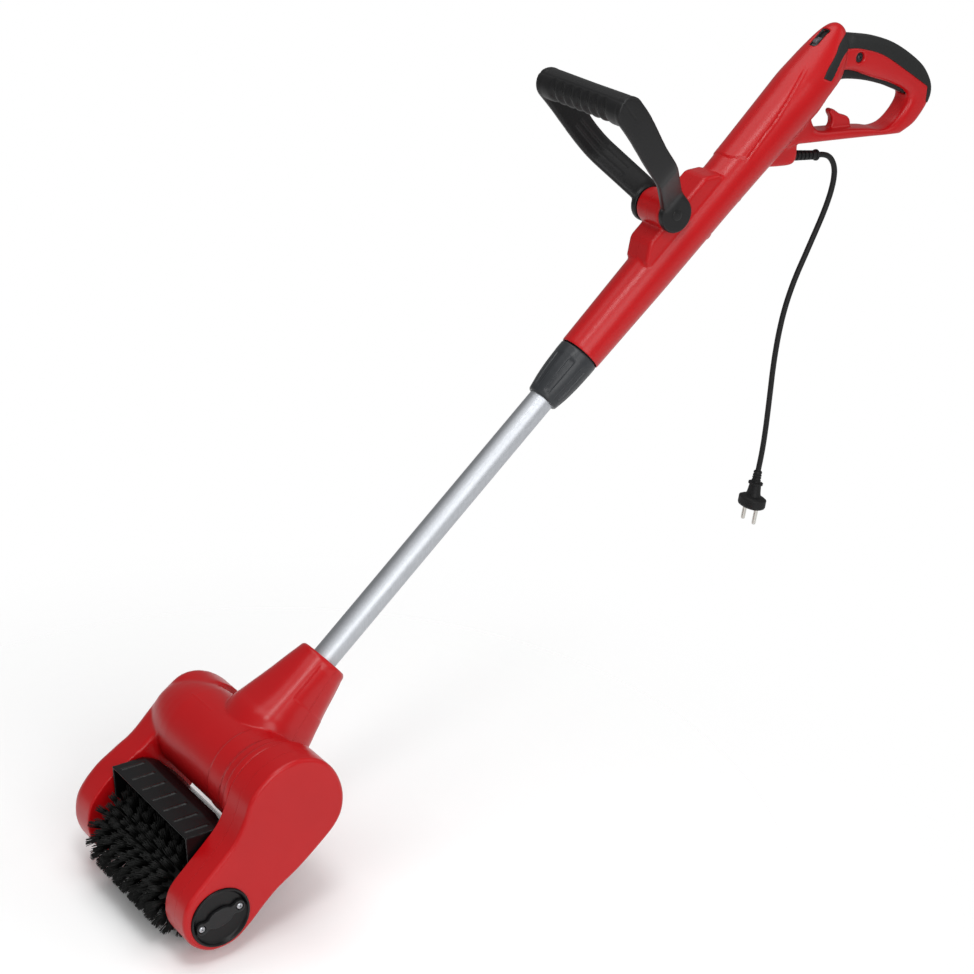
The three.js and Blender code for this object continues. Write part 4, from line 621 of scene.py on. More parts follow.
# The head is a front and a rear red ABS shell that close round the motor, the tube's end and the far
# bearing. The neck flares out of the tube socket into the motor's round case, two stepped flanges
# stiffen the drive side, and the far arm is one hollow moulding with wide soft edges.
arm_inner, arm_outer = 0.084, 0.124
motor_middle, brush_middle = (-0.008, 0.125), (0.005, 0.0)
neck_table = [(0.125, 0.0455, 2.3), (0.168, 0.0455, 2.5), (0.184, 0.0415, 2.8), (0.200, 0.0372, 3.0),
              (0.220, 0.0333, 2.8), (0.240, 0.0302, 2.5), (0.2555, 0.0277, 2.2), (0.2580, 0.0277, 2.1),
              (0.2605, 0.0268, 2.0), (0.2618, 0.0250, 2.0)]


def neck_form(name):
    """The neck: superellipses whose half width and power follow the table up the shaft."""
    rows = [np.column_stack([ring(wide, wide, power, 96), np.full(96, height)])
            for height, wide, power in curve(neck_table, 70)]
    return skin(name, np.stack(rows))


def slab(name, low, high):
    """A block wider than the whole head, from low to high across."""
    return plate(name, np.array([(-0.2, -0.2), (0.2, -0.2), (0.2, 0.4), (-0.2, 0.4)]), low, high)


case_edge, chamfer = 0.0837, 0.0012
motor_case = turned("motor_case", [
    (-0.1200, 0.0300), (-0.1165, 0.0352), (-0.1100, 0.0392), (-0.0990, 0.0428),
    (-0.0870, 0.0455), (-0.0750, 0.0472), (-0.0620, 0.048), (case_edge, 0.048)],
    motor_middle, count=128)
flanges = [turned(f"flange_{start}", [(start, radius - chamfer), (start + chamfer, radius),
                                      (case_edge, radius)], motor_middle, count=128)
           for start, radius in ((0.0607, 0.0515), (0.0737, 0.0550))]
far_outline = curve(np.array([
    (5, -38), (-17, -34), (-34, -21), (-44, -4), (-47.5, 24), (-44, 50), (-40, 75), (-41.5, 105),
    (-42.5, 134), (-38, 156), (-21, 172), (8, 178.5), (30, 170), (43, 150), (46, 120), (44, 80), (43, 30),
    (40, -4), (26, -28)]) / 1000, 180, closed=True)
arm_limit = slab("arm_limit", -arm_inner, 0.2)
far_arm = carve(plate("far_arm", far_outline, -arm_outer, -0.050, 0.012), [arm_limit])
motor_room = turned("motor_room", [(-0.081, 0.0435), (0.095, 0.0435)], motor_middle)
tube_room = turned("tube_room", [(0.205, 0.0142), (0.280, 0.0142)])
lead_room = turned("lead_room", [(0.120, 0.007), (0.206, 0.007)])
bearing_room = turned("bearing_room", [(-0.0943, 0.0112), (-0.080, 0.0112)], brush_middle)
axle_room = turned("axle_room", [(-0.118, 0.0057), (-0.080, 0.0057)], brush_middle)
neck_screw_side, neck_screw_seat, neck_screw_height = 0.024, 0.016, 0.196
wide, high = ring(0.005, 0.005, 2, 32).T
screw_rooms = [skin(f"screw_room_{side}", np.stack([
    np.column_stack([side * neck_screw_side + wide, np.full(32, reach), neck_screw_height + high])
    for reach in (neck_screw_seat, 0.060)])) for side in (-1, 1)]
motor_case = carve(motor_case, [motor_room, lead_room])
neck = carve(neck_form("neck"), [motor_room, tube_room, lead_room, *screw_rooms])
far_arm = carve(far_arm, [motor_room, bearing_room, axle_room])
flanges = [carve(flange, [motor_room]) for flange in flanges]
head = fuse("head", [motor_case, neck, far_arm, *flanges], 0.0013, 4)
places, normals = points_of(head)
far_end = (places[:, 0] < -0.068) & (places[:, 1] < -0.016) & (np.abs(places[:, 2] - motor_middle[1]) < 0.062)
head.vertex_groups.new(name="far_end").add(np.flatnonzero(far_end).tolist(), 1.0, "REPLACE")
soften = head.modifiers.new("soften", "SMOOTH")
soften.factor, soften.iterations, soften.vertex_group = 0.5, 40, "far_end"
finished(head).vertex_groups.clear()
places, normals = points_of(head)
heights = places[:, 2]
neck_turn = np.degrees(np.arctan2(places[:, 1], places[:, 0]))
panel = ramp(neck_turn, -39, -36) * (1 - ramp(neck_turn, 48, 52)) * ramp(heights, 0.2095, 0.2112)
panel = 0.0010 * panel * (1 - ramp(heights, 0.250, 0.257))
from_motor = heights - motor_middle[1]
case_reach = np.hypot(places[:, 1] - motor_middle[0], from_motor)
case_turn = np.degrees(np.arctan2(from_motor, motor_middle[0] - places[:, 1]))
collar_step = ramp(places[:, 0], 0.0325, 0.0338) * (case_reach < 0.0500) * (1 - ramp(heights, 0.150, 0.166))
collar_step = 0.0014 * collar_step * (places[:, 0] < 0.075) * (case_reach > 0.046)
parting_mark = np.exp(-((case_turn - 27.5) / 0.9) ** 2) * (case_reach > 0.046)
parting_mark = parting_mark * (np.abs(places[:, 0] + 0.046) < 0.021)
seam = panel - collar_step - 0.0004 * parting_mark
vents = np.abs(places[:, 0, None] - np.linspace(-0.016, 0.016, 5))
vents = 0.0040 * (1 - ramp(vents, 0.0011, 0.0019)).max(1) * (places[:, 1] > 0.028)
vents = vents * (1 - ramp(np.abs(from_motor), 0.013, 0.016))
move(head, places - normals * (seam + vents)[:, None])
halves(head, {"front_shell": "head_shell_front", "back_shell": "head_shell_rear"},
       red_shell, "boom", "red_plastic", across=(0, 1, 0))
discard(arm_limit, motor_room, tube_room, lead_room, bearing_room, axle_room, *screw_rooms)


# The drive arm is a red case with the bearings' bosses in it and a red cover over the belt, both one
# outline that narrows from the motor to the roller. Three screws from inside hold them to the head.
drive_outline = curve(np.array([
    (7, -38.5), (-11, -36), (-27, -25), (-37, -8), (-39, 20), (-40, 45), (-42, 66), (-50, 87), (-60, 106),
    (-63, 126), (-59, 148), (-46, 168), (-26, 180), (-2, 181.5), (22, 173), (39, 158), (46.5, 140),
    (47.4, 115), (46, 84), (42, 55), (42, 35), (43.5, 10), (41, -12), (27, -31)]) / 1000, 200, closed=True)
case_end, cover_start = 0.104, 0.1043
cap_turn, cap_reach = math.radians(24.7), 0.022
cap_places = [(brush_middle[0] + side * cap_reach * math.sin(cap_turn), side * cap_reach * math.cos(cap_turn))
              for side in (-1, 1)]


def flat_faced(piece):
    """Shades a cut piece true: edges over 30 degrees are sharp, and each corner's normal is weighted by
    the area of the faces round it, so that wide flat faces stay flat."""
    shade(piece.data, 30)
    weigh = piece.modifiers.new("weigh", "WEIGHTED_NORMAL")
    weigh.keep_sharp = True
    return piece


case_wall, case_limit = 0.003, slab("case_limit", case_end, 0.2)
case_room = plate("case_room", inset(drive_outline, case_wall), arm_inner + case_wall, 0.2)
case_bores = [turned(f"case_bore_{reach}", [(0.080, 0.0057), (0.0855, 0.0057), (0.0856, 0.0112),
                                            (0.11, 0.0112)], (reach, height), count=48)
              for reach, height in (brush_middle, motor_middle)]
drive_case = plate("drive_case", drive_outline, arm_inner, 0.120, 0.0012)
drive_case = carve(drive_case, [case_limit, case_room, *case_bores])
dress(settle(flat_faced(drive_case)), red_shell, "boom", "red_plastic", "drive_arm_case")

cover_limit = slab("cover_limit", 0.0, cover_start)
cover_room = plate("cover_room", inset(drive_outline, 0.004), 0.0, 0.1205)
cap_room = turned("cap_room", [(0.1211, 0.0328), (0.13, 0.0328)], brush_middle)
cap_seat = turned("cap_seat", [(0.1181, 0.036), (0.1225, 0.036)], brush_middle)
cap_screw_rooms = [turned("cap_screw_room", [(0.110, 0.0021), (0.13, 0.0021)], middle, count=32)
                   for middle in cap_places]
cover = carve(plate("cover", drive_outline, 0.090, arm_outer, 0.0045), [cover_limit, cover_room])
add = cover.modifiers.new("seat", "BOOLEAN")
add.operation, add.solver, add.object = "UNION", "EXACT", cap_seat
cover = carve(finished(cover), [cap_room, *cap_screw_rooms])
cover.name = cover.data.name = "drive_cover"
dress(settle(flat_faced(cover)), red_shell, "boom", "red_plastic", "belt_cover")
discard(case_room, case_limit, *case_bores, cover_limit, cover_room, cap_room, cap_seat, *cap_screw_rooms)


# The roller is a black core with end plates on a hexagonal steel axle. Four slices of stiff nylon
# bristle are pushed onto it: each has five rows of tufts, and a tuft is a bundle of splayed strands.
def strands(name, roots, tips, side, thick, sides=3, rings=3):
    """Tapered strands from roots to tips as one mesh. Along share s a strand is at root + (tip - root) s
    + side (s^2 - s) and its radius is thick (1 - 0.35 s), on a circle of few sides; the tip is closed."""
    share = np.linspace(0, 1, rings)[None, :, None]
    line = roots[:, None] + (tips - roots)[:, None] * share + side[:, None] * (share**2 - share)
    along = (tips - roots) / np.linalg.norm(tips - roots, axis=1, keepdims=True)
    first = np.cross(along, (1.0, 0.2, 0.1))
    first /= np.linalg.norm(first, axis=1, keepdims=True)
    second = np.cross(along, first)
    turn = np.linspace(0, 2 * math.pi, sides, endpoint=False)
    spoke = first[:, None] * np.cos(turn)[:, None] + second[:, None] * np.sin(turn)[:, None]
    radius = thick * (1 - 0.35 * share[..., None])
    points = (line[:, :, None] + radius * spoke[:, None]).reshape(-1, 3)
    base = np.arange(len(roots))[:, None, None] * rings * sides
    i, j = np.arange(rings - 1)[None, :, None] * sides, np.arange(sides)[None, None, :]
    k = (j + 1) % sides
    walls = np.stack([base + i + j, base + i + k, base + i + sides + k, base + i + sides + j], -1)
    feet = np.arange(len(roots))[:, None] * rings * sides + np.arange(sides)[::-1]
    ends = np.arange(len(roots))[:, None] * rings * sides + (rings - 1) * sides + np.arange(sides)
    mesh = bpy.data.meshes.new(name)
    mesh.from_pydata(points.tolist(), [], walls.reshape(-1, 4).tolist() + ends.tolist() + feet.tolist())
    mesh.shade_smooth()
    return placed(name, mesh)


bristle_nylon = moulded("bristle_nylon", (4, 5, 4), (11, 12, 11), (22, 23, 22),
                        roughness=(0.42, 0.6), grain=500, depth=0.00008)
roller_black = moulded("roller_black", (14, 14, 14), (22, 22, 22), (40, 40, 40),
                       roughness=(0.45, 0.6), grain=700, depth=0.0001)
roller_half, slices, slice_gap = 0.071, 4, 0.0003
axle_room_radius, backing, root_radius, tip_radius = 0.0243, 0.030, 0.028, 0.053
tufts_around, rows_across, strands_each, strand_radius = 16, 5, 16, 0.00062
foot_spread, tip_spread_across, tip_spread_round, tip_margin = 0.0018, 0.0032, 0.0040, 0.0006
golden_turn = 2.39996
chance = np.random.default_rng(7)
slice_length = 2 * roller_half / slices
row_pitch = slice_length / rows_across
axle_reach = brush_middle[0]
for index in range(slices):
    start = -roller_half + index * slice_length
    end = start + slice_length
    row, tuft, one = np.meshgrid(np.arange(rows_across), np.arange(tufts_around), np.arange(strands_each),
                                 indexing="ij")
    row, tuft, one = row.ravel(), tuft.ravel(), one.ravel()
    middle_turn = 2 * math.pi * (tuft + (row % 2) / 2 + 0.25) / tufts_around
    count = len(row)
    spiral = one * golden_turn
    spread = np.sqrt((one + 0.5) / strands_each)
    lean = chance.normal(0, 1, (rows_across * tufts_around, 2))[row * tufts_around + tuft] * 0.0009
    ragged = chance.normal(0, 0.0005, (count, 2))
    foot_x = start + row_pitch * (row + 0.5) + foot_spread * spread * np.cos(spiral)
    foot_turn = middle_turn + foot_spread / root_radius * spread * np.sin(spiral)
    tip_x = start + row_pitch * (row + 0.5) + tip_spread_across * spread * np.cos(spiral)
    tip_x = np.clip(tip_x + lean[:, 0] + ragged[:, 0], start + tip_margin, end - tip_margin)
    tip_arc = tip_spread_round * spread * np.sin(spiral) + lean[:, 1] + ragged[:, 1]
    tip_turn = middle_turn + tip_arc / tip_radius
    reach = tip_radius - 0.0022 * chance.random(count) ** 2
    cos, sin = np.cos(tip_turn), np.sin(tip_turn)
    foot_reach, foot_rise = root_radius * np.cos(foot_turn), root_radius * np.sin(foot_turn)
    roots = np.stack([foot_x, axle_reach + foot_reach, foot_rise], -1)
    tips = np.stack([tip_x, axle_reach + reach * cos, reach * sin], -1)
    side = np.stack([ragged[:, 0] * 2, -sin * ragged[:, 1] * 4, cos * ragged[:, 1] * 4], -1)
    brush = strands(f"strands_{index + 1}", roots, tips, side, strand_radius)
    sleeve = turned(f"sleeve_{index + 1}", [
        (start + slice_gap / 2, axle_room_radius), (start + slice_gap / 2, backing - 0.001),
        (start + 0.0012, backing), (end - 0.0012, backing), (end - slice_gap / 2, backing - 0.001),
        (end - slice_gap / 2, axle_room_radius)], brush_middle, count=64)
    node = f"bristle_slice_{index + 1}"
    dress(settle(brush), bristle_nylon, "brush", "bristle", node)
    dress(settle(sleeve), roller_black, "brush", "bristle", node)


# The splash guard is a glossy black polypropylene sheet bent over the roller, with a flat ribbed lip
# in front and an end plate at each side. Two screws through its bosses hold it to the arms.
guard_black = moulded("guard_black", (6, 6, 7), (12, 12, 13), (40, 40, 41),
                      roughness=(0.24, 0.34), grain=520, depth=0.00016)
guard_half, guard_sheet, guard_radius = 0.081, 0.0025, 0.070
guard_lip = np.array((-0.058, 0.037))


def guard_arc(drawn, count=48):
    """Places over the roller on circles drawn in: a short arc 5 mm further out at the corner, then the
    roof, which starts 3.5 mm out and eases in with the square of the share that is left."""
    turn = np.radians(np.concatenate([np.linspace(32, 26, 8), np.linspace(19, -58, count)]))
    radius = np.concatenate([np.full(8, guard_radius + 0.005), np.full(count, guard_radius)]) - drawn
    radius[8:14] += 0.0035 * (1 - np.linspace(0, 1, 6)) ** 2
    return np.column_stack([axle_reach - radius * np.sin(turn), radius * np.cos(turn)])


roof = guard_arc(0)
lip_inside = guard_lip + (guard_sheet, -guard_sheet / 2)
sheet_line = np.vstack([guard_lip, roof, guard_arc(guard_sheet)[::-1], lip_inside])
sheet = plate("sheet", sheet_line, -guard_half, guard_half)
plate_line = np.vstack([guard_lip, roof, [(roof[-1, 0], 0.015), (-0.030, 0.015)]])
plates = [plate(f"side_{side}", plate_line, *sorted((side * guard_half, side * (guard_half - guard_sheet))))
          for side in (-1, 1)]
guard_screw = (-0.018, 0.052)
bosses, guard_bores = [
    [turned(f"{name}_{start}", [(start, radius), (end, radius)], guard_screw, count=count)
     for start, end in ((-far, -near), (near, far))]
    for name, radius, near, far, count in (
        ("boss", 0.006, 0.0785, 0.0837, 40), ("bore", 0.002, 0.077, 0.09, 32))]
run = roof[0] - guard_lip
lift = np.array((-run[1], run[0])) / np.linalg.norm(run)
ribs = []
for index in range(7):
    middle = (index - 3) * 0.0232
    line = np.array([guard_lip + run * share + lift * high for share, high in
                     ((0.10, -0.001), (0.92, -0.001), (0.86, 0.0011), (0.16, 0.0011))])
    ribs.append(plate(f"rib_{index}", line, middle - 0.0007, middle + 0.0007))
ends = [carve(part, guard_bores) for part in (*plates, *bosses)]
guard = fuse("guard", [sheet, *ends, *ribs], 0.00094, 2)
places, normals = points_of(guard)
from_axle = np.hypot(places[:, 1] - axle_reach, places[:, 2])
roof_turn = np.degrees(np.arctan2(axle_reach - places[:, 1], places[:, 2]))
crown = (1 - ramp(places[:, 0], 0.046, 0.060)) * ramp(places[:, 0], -0.080, -0.074)
crown = 0.0024 * crown * ramp(from_axle, 0.064, 0.067) * (1 - ramp(np.abs(roof_turn - 6), 14, 36))
outward = np.column_stack([0 * from_axle, places[:, 1] - axle_reach, places[:, 2]]) / from_axle[:, None]
move(guard, places + crown[:, None] * outward)
guard.data.shade_smooth()
dress(settle(guard), guard_black, "boom", "black_plastic", "splash_guard")
discard(*guard_bores)


# The twist collar is charcoal ABS with flutes for the fingers. It screws down on a split collet that
# grips the tube, and it widens towards the housing.
charcoal = moulded("charcoal_shell", (38, 40, 42), (48, 50, 53), (84, 86, 90),
                   roughness=(0.26, 0.38), grain=800, depth=0.00008)
collar_knots = np.array([
    (0.6170, 0.0146), (0.6172, 0.0164), (0.6184, 0.0176), (0.6240, 0.0188), (0.6320, 0.0202),
    (0.6400, 0.0212), (0.6500, 0.0221), (0.6600, 0.0226), (0.6690, 0.0229), (0.6784, 0.0229),
    (0.6792, 0.0223), (0.6792, 0.0213), (0.6690, 0.0172), (0.6260, 0.0172), (0.6260, 0.0146)])
flutes, flute_depth = 8, 0.0013


def collar_form(name):
    """The collar: a closed profile of height and radius, turned about the shaft. Flat-bottomed finger
    hollows sink its outer wall along its middle stretch, each a smooth step of a cosine round it."""
    share = np.linspace(0, 1, 8, endpoint=False)[:, None]
    rows = np.concatenate([a + (b - a) * share for a, b in zip(collar_knots, np.roll(collar_knots, -1, 0))])
    turn = np.linspace(0, 2 * math.pi, 256, endpoint=False)
    outer = (rows[:, 1] > 0.0176) * ramp(rows[:, 0], 0.6215, 0.6275) * (1 - ramp(rows[:, 0], 0.664, 0.6685))
    sink = flute_depth * outer[:, None] * ramp(np.cos(turn * flutes), 0.05, 0.45)
    radius = rows[:, 1, None] - sink
    grid = [radius * np.cos(turn), radius * np.sin(turn), np.broadcast_to(rows[:, :1], radius.shape)]
    return skin(name, np.stack(grid, -1), along=True)


dress(settle(collar_form("fluted_collar")), charcoal, "collar", "grey_plastic", "twist_collar")


# The shaft is a drawn aluminium tube, clear anodised, with fine drawing lines along its length. The
# head's socket holds its lower end, and it slides into the housing through the collar.
def drawn_metal(name, deep, light, roughness):
    """A metal finish whose colour goes from deep to light with noise stretched along the shaft."""
    material = moulded(name, deep, light, light, roughness=roughness, grain=1400, depth=0.00002, metal=1.0)
    tree = material.node_tree
    place, turn, lines, mixer = nodes_in(tree, "TexCoord", "Mapping", "TexNoise", "Mix")
    mixer.data_type = "RGBA"
    dial(turn, {"Rotation": (math.pi / 2 - slope, 0, 0), "Scale": (900, 900, 3)})
    dial(lines, {"Scale": 1})
    dial(mixer, {"A": paint(*deep), "B": paint(*light)})
    wire(tree, (place, "Object", turn, "Vector"), (turn, "Vector", lines, "Vector"),
         (lines, "Fac", mixer, "Factor"), (mixer, "Result", tree.nodes["Principled BSDF"], "Base Color"))
    return material


tube_metal = drawn_metal("tube_metal", (166, 169, 174), (192, 195, 199), (0.42, 0.52))
tube_low, tube_high = 0.2053, 0.7603
tube_level, tube_radius = np.array([
    (tube_low, 0.0128), (tube_low, 0.0137), (tube_low + 0.0003, 0.0140), (tube_high - 0.0003, 0.0140),
    (tube_high, 0.0137), (tube_high, 0.0128)]).T[..., None]
circle = ring(1, 1, 2, 96)
tube_grid = [tube_radius * circle[:, 0], tube_radius * circle[:, 1], np.repeat(tube_level, len(circle), 1)]
tube = skin("drawn_tube", np.stack(tube_grid, -1), along=True)
dress(settle(tube), tube_metal, "boom", "aluminium", "shaft_tube")


# The front handle is one black glass-filled moulding. Two flat straps run from round pivot discs out
# and up to a cross bar, whose underside has finger grooves. It tilts on one bolt through the hump.
grip_line, grip_level = -0.210, 0.861
strap_rise, strap_half_wide, strap_half_thick = 0.0055, 0.015, 0.004
strap_path = curve(np.array([
    (-43, 23.5), (-54, 23.5), (-62, 26.0), (-72, 32.0), (-104, 52.0), (-113, 56.6), (-124, 59.6),
    (-150, 62.2), (-178, 64.6), (-200, 66.0), (-226.2, 67.0)]) / 1000, 150)


def strap(name, side):
    """A flat bar: a boxy superellipse carried along the path on the reach-across plane, square to it,
    half wide up the shaft and half thick through. Past the grip's middle it ends in a half circle."""
    ahead = np.gradient(strap_path, axis=0)
    ahead /= np.linalg.norm(ahead, axis=1, keepdims=True)
    section = ring(1, 1, 5, 44)
    wide = strap_half_wide + 0.0016 * ramp(-strap_path[:, 0], 0.13, 0.20)
    past = np.clip(grip_line - strap_path[:, 0], 0, 0.0165)
    wide = np.minimum(wide, np.sqrt(0.0166**2 - past**2))
    through = strap_half_thick * section[None, :, 1]
    reach = strap_path[:, :1] - ahead[:, 1:] * through
    across = side * (strap_path[:, 1:] + ahead[:, :1] * through)
    centre = strap_rise + (grip_level - pivot[1] - strap_rise) * ramp(-strap_path[:, 0], 0.13, 0.20)
    height = pivot[1] + centre[:, None] + wide[:, None] * section[None, :, 0]
    return skin(name, np.stack([across, reach, height], -1))


disc_in, disc_out = 0.0195, 0.0275
discs = [turned(f"disc_{side}", [(side * disc_in, 0.0190), (side * (disc_in + 0.001), 0.0200),
                                 (side * (disc_out - 0.0012), 0.0200), (side * disc_out, 0.0188)],
                pivot) for side in (-1, 1)]
grip_bar = turned("grip_bar", [
    (-0.0700, 0.0080), (-0.0697, 0.0120), (-0.0685, 0.0146), (-0.0660, 0.0160),
    (-0.0560, 0.0163), (0, 0.0160), (0.0560, 0.0163), (0.0660, 0.0160), (0.0685, 0.0146),
    (0.0697, 0.0120), (0.0700, 0.0080)], (grip_line, grip_level))
straps = [strap(f"strap_{side}", side) for side in (-1, 1)]
wall_ribs = []
for side in (-1, 1):
    for rise in (-0.0035, 0.0045):
        inner = strap_path[34:96]
        line = np.column_stack([inner[:, 0], side * (inner[:, 1] - 0.0040)])
        width = np.pad(np.full(len(line) - 2, 0.0011), 1)
        level = pivot[1] + strap_rise + rise
        rows = np.stack([
            np.column_stack([line[:, 1] + a * width, line[:, 0], np.full(len(line), level + b)])
            for a, b in ((1, 0.0005), (1, -0.0005), (-1, -0.0005), (-1, 0.0005))], 1)
        wall_ribs.append(skin(f"wall_rib_{side}_{rise}", rows))
bolt_room = turned("bolt_room", [(-0.05, 0.0033), (0.05, 0.0033)], pivot, count=40)
discs = [carve(disc, [bolt_room]) for disc in discs]
straps = [carve(part, [bolt_room]) for part in straps]
front = fuse("front", [grip_bar, *discs, *straps, *wall_ribs], 0.0011, 3)
places, normals = points_of(front)
under = ramp(grip_level - places[:, 2], -0.003, 0.009) * (np.abs(places[:, 1] - grip_line) < 0.0175)
finger_lines = (np.arange(7) - 3) * 0.014
groove = np.exp(-((places[:, 0, None] - finger_lines) / 0.0042) ** 2).max(1)
groove = 0.0038 * groove * under * (np.abs(places[:, 0]) < 0.052)
parting = 0.00035 * np.exp(-((places[:, 2] - grip_level) / 0.0007) ** 2) * (places[:, 1] < -0.2)
move(front, places + np.column_stack([0 * groove, 0 * groove, groove]) - normals * parting[:, None])
front.data.shade_smooth()
handle_black = moulded("handle_black", (15, 15, 16), (23, 23, 24), (54, 54, 56),
                       roughness=(0.34, 0.46), grain=620, depth=0.00014)
dress(settle(front), handle_black, "front_handle", "black_plastic", "front_handle")
discard(bolt_room)
bolt_cap = turned("bolt_cap", [
    (-0.0318, 0.0030), (0.0276, 0.0030), (0.0276, 0.0060), (0.0278, 0.0060), (0.0281, 0.0057),
    (0.0283, 0.0045), (0.0284, 0.0012), (0.0280, 0.0009)], pivot, count=64)
dress(settle(bolt_cap), handle_black, "handle", "black_plastic", "handle_bolt")


# The axle cap is one black moulding that closes the roller's bearing: a dished disc with a waisted bar that
# stands up in the dish. It is built here as two pieces so that the dish is painted darker, as painted shade
# in its hollow, and the bar lighter, as a painted highlight. A bright cross-head screw at each end of the bar
# holds both.
cap_disc = turned("cap_disc", [
    (0.1213, 0.0310), (0.1213, 0.0325), (0.1252, 0.0325), (0.1260, 0.0319), (0.1262, 0.0312),
    (0.1258, 0.0303), (0.1236, 0.0292), (0.1225, 0.0280), (0.1222, 0.0262)],
    brush_middle, count=128)
bar_quarter = np.array([(0.0278, 0), (0.0268, 0.0042), (0.0238, 0.0066), (0.0200, 0.0066), (0.0165, 0.0052),
                        (0.0135, 0.0052), (0.0100, 0.0078), (0.0050, 0.0094)])
bar_half = np.vstack([bar_quarter, [(0, 0.0096)], bar_quarter[::-1] * (-1, 1)])
bar_round = curve(np.vstack([bar_half, bar_half[-2:0:-1] * (1, -1)]), 160, closed=True)
along_bar, side_bar = bar_round.T
bar_line = np.column_stack([brush_middle[0] + along_bar * math.sin(cap_turn) + side_bar * math.cos(cap_turn),
                            along_bar * math.cos(cap_turn) - side_bar * math.sin(cap_turn)])
cap_bar = plate("cap_bar", bar_line, 0.1217, 0.1258, 0.0008)
cap_holes = [turned(f"cap_hole_{index}", [
    (0.11, 0.0021), (0.1236, 0.0021), (0.1237, 0.0041), (0.13, 0.0043)],
    middle, count=48) for index, middle in enumerate(cap_places)]
cap_pitch = 0.0005
cap_dish = fuse("cap_dish", [carve(cap_disc, cap_holes)], cap_pitch, 2)
cap_bar = fuse("cap_bridge", [carve(cap_bar, cap_holes)], cap_pitch, 2)
# Painted shade: the dish is near black for the shade in its hollow.
dish_painted_shade = moulded("dish_painted_shade", (3, 3, 4), (8, 8, 9), (40, 40, 41),
                     roughness=(0.3, 0.42), grain=800, depth=0.0001)
# Painted highlight: the bar is a lighter dark grey for the light on its raised top.
bar_painted_highlight = moulded("bar_painted_highlight", (22, 22, 23), (31, 31, 32), (66, 66, 67),
                    roughness=(0.36, 0.48), grain=700, depth=0.00014)
dress(settle(cap_dish), dish_painted_shade, "boom", "black_plastic", "axle_cap")
dress(settle(cap_bar), bar_painted_highlight, "boom", "black_plastic", "axle_cap")
discard(*cap_holes)


# The screws are steel with pan heads and a cross recess, driven into moulded bosses. Those of the head
# are bright zinc-plated and those of the rear housing are black.
zinc = moulded("zinc_plate", (150, 152, 156), (182, 184, 188), (210, 212, 215),
               roughness=(0.28, 0.42), grain=900, depth=0.00004, metal=1.0)
dark_zinc = moulded("black_zinc", (44, 44, 46), (62, 62, 64), (96, 96, 98),
                    roughness=(0.34, 0.46), grain=900, depth=0.00004, metal=1.0)


def screw(name, seat, facing, length, metal, body_name, node, washer=0.0036):
    """A screw turned about facing from its seat: shank behind, pan head in front whose profile is a
    low dome over a washer's radius, with two crossed slots milled in."""
    seat, facing = np.asarray(seat), np.asarray(facing, float)
    first = np.cross(facing, (0.0, 0.6, 0.8) if abs(facing[0]) > 0.5 else (1.0, 0.0, 0.0))
    first /= np.linalg.norm(first)
    second = np.cross(facing, first)
    rows = np.array([
        (-length, 0.0006), (-length + 0.0015, 0.0018), (0, 0.0018), (0, washer - 0.0002), (0.0003, washer),
        (0.0006, washer), (0.0008, 0.0036), (0.0011, 0.0035), (0.0018, 0.0029), (0.0023, 0.0017),
        (0.0024, 0.0006)])
    circle = ring(1, 1, 2, 40)
    spoke = circle[:, :1] * first + circle[:, 1:] * second
    grid = seat + rows[:, 0, None, None] * facing + rows[:, 1, None, None] * spoke
    box = np.array([(-1, -1), (1, -1), (1, 1), (-1, 1)])
    slots = []
    for one, other in ((first, second), (second, first)):
        base = box[:, :1] * one * 0.0021 + box[:, 1:] * other * 0.00042
        tip = box[:, :1] * one * 0.0009 + box[:, 1:] * other * 0.00030
        slot = np.stack([seat + 0.0009 * facing + tip, seat + 0.0030 * facing + base])
        slots.append(skin("slot", slot, flat=True))
    made = carve(skin(name, grid), slots)
    discard(*slots)
    shade(made.data, 38)
    return dress(settle(made), metal, body_name, "steel", node)


for index, middle in enumerate(cap_places):
    screw(f"cap_pan_screw_{index + 1}", (0.1238, *middle), (1, 0, 0), 0.006, zinc, "boom",
          f"cap_screw_{index + 1}")
left_and_right = ((1, -1, "left"), (2, 1, "right"))
for index, side, word in left_and_right:
    screw(f"head_pan_screw_{index}", (side * neck_screw_side, neck_screw_seat, neck_screw_height),
          (0, 1, 0), 0.028, zinc, "boom", f"head_screw_{word}")
for index, middle in enumerate(((-0.038, 0.082), (0.032, 0.082), (-0.008, 0.172))):
    screw(f"arm_pan_screw_{index + 1}", (0.087, *middle), (-1, 0, 0), 0.028, zinc, "boom",
          f"arm_screw_{index + 1}")
guard_seat = guard_half - guard_sheet - 0.0003
for index, side, word in left_and_right:
    screw(f"guard_pan_screw_{index}", (side * guard_seat, *guard_screw), (-side, 0, 0), 0.0065, zinc, "boom",
          f"guard_screw_{word}")
rear_screws = [(near_screw, 1, handle_half), (far_screw, -1, handle_half)]
rear_screws += [((0.0255, height), -1, lug_half) for height in lug_heights]
# The first screw has a wide black washer face that fills most of the near pocket; its black is partly the
# screw's own and partly painted shade for the pocket's hollow.
for index, (middle, side, half) in enumerate(rear_screws):
    seat = side * (half - 0.0030)
    screw(f"rear_pan_screw_{index + 1}", (seat, *middle), (side, 0, 0), 2 * half - 0.0078, dark_zinc,
          "handle", f"housing_screw_{index + 1}", washer=0.0052 if index == 0 else 0.0036)


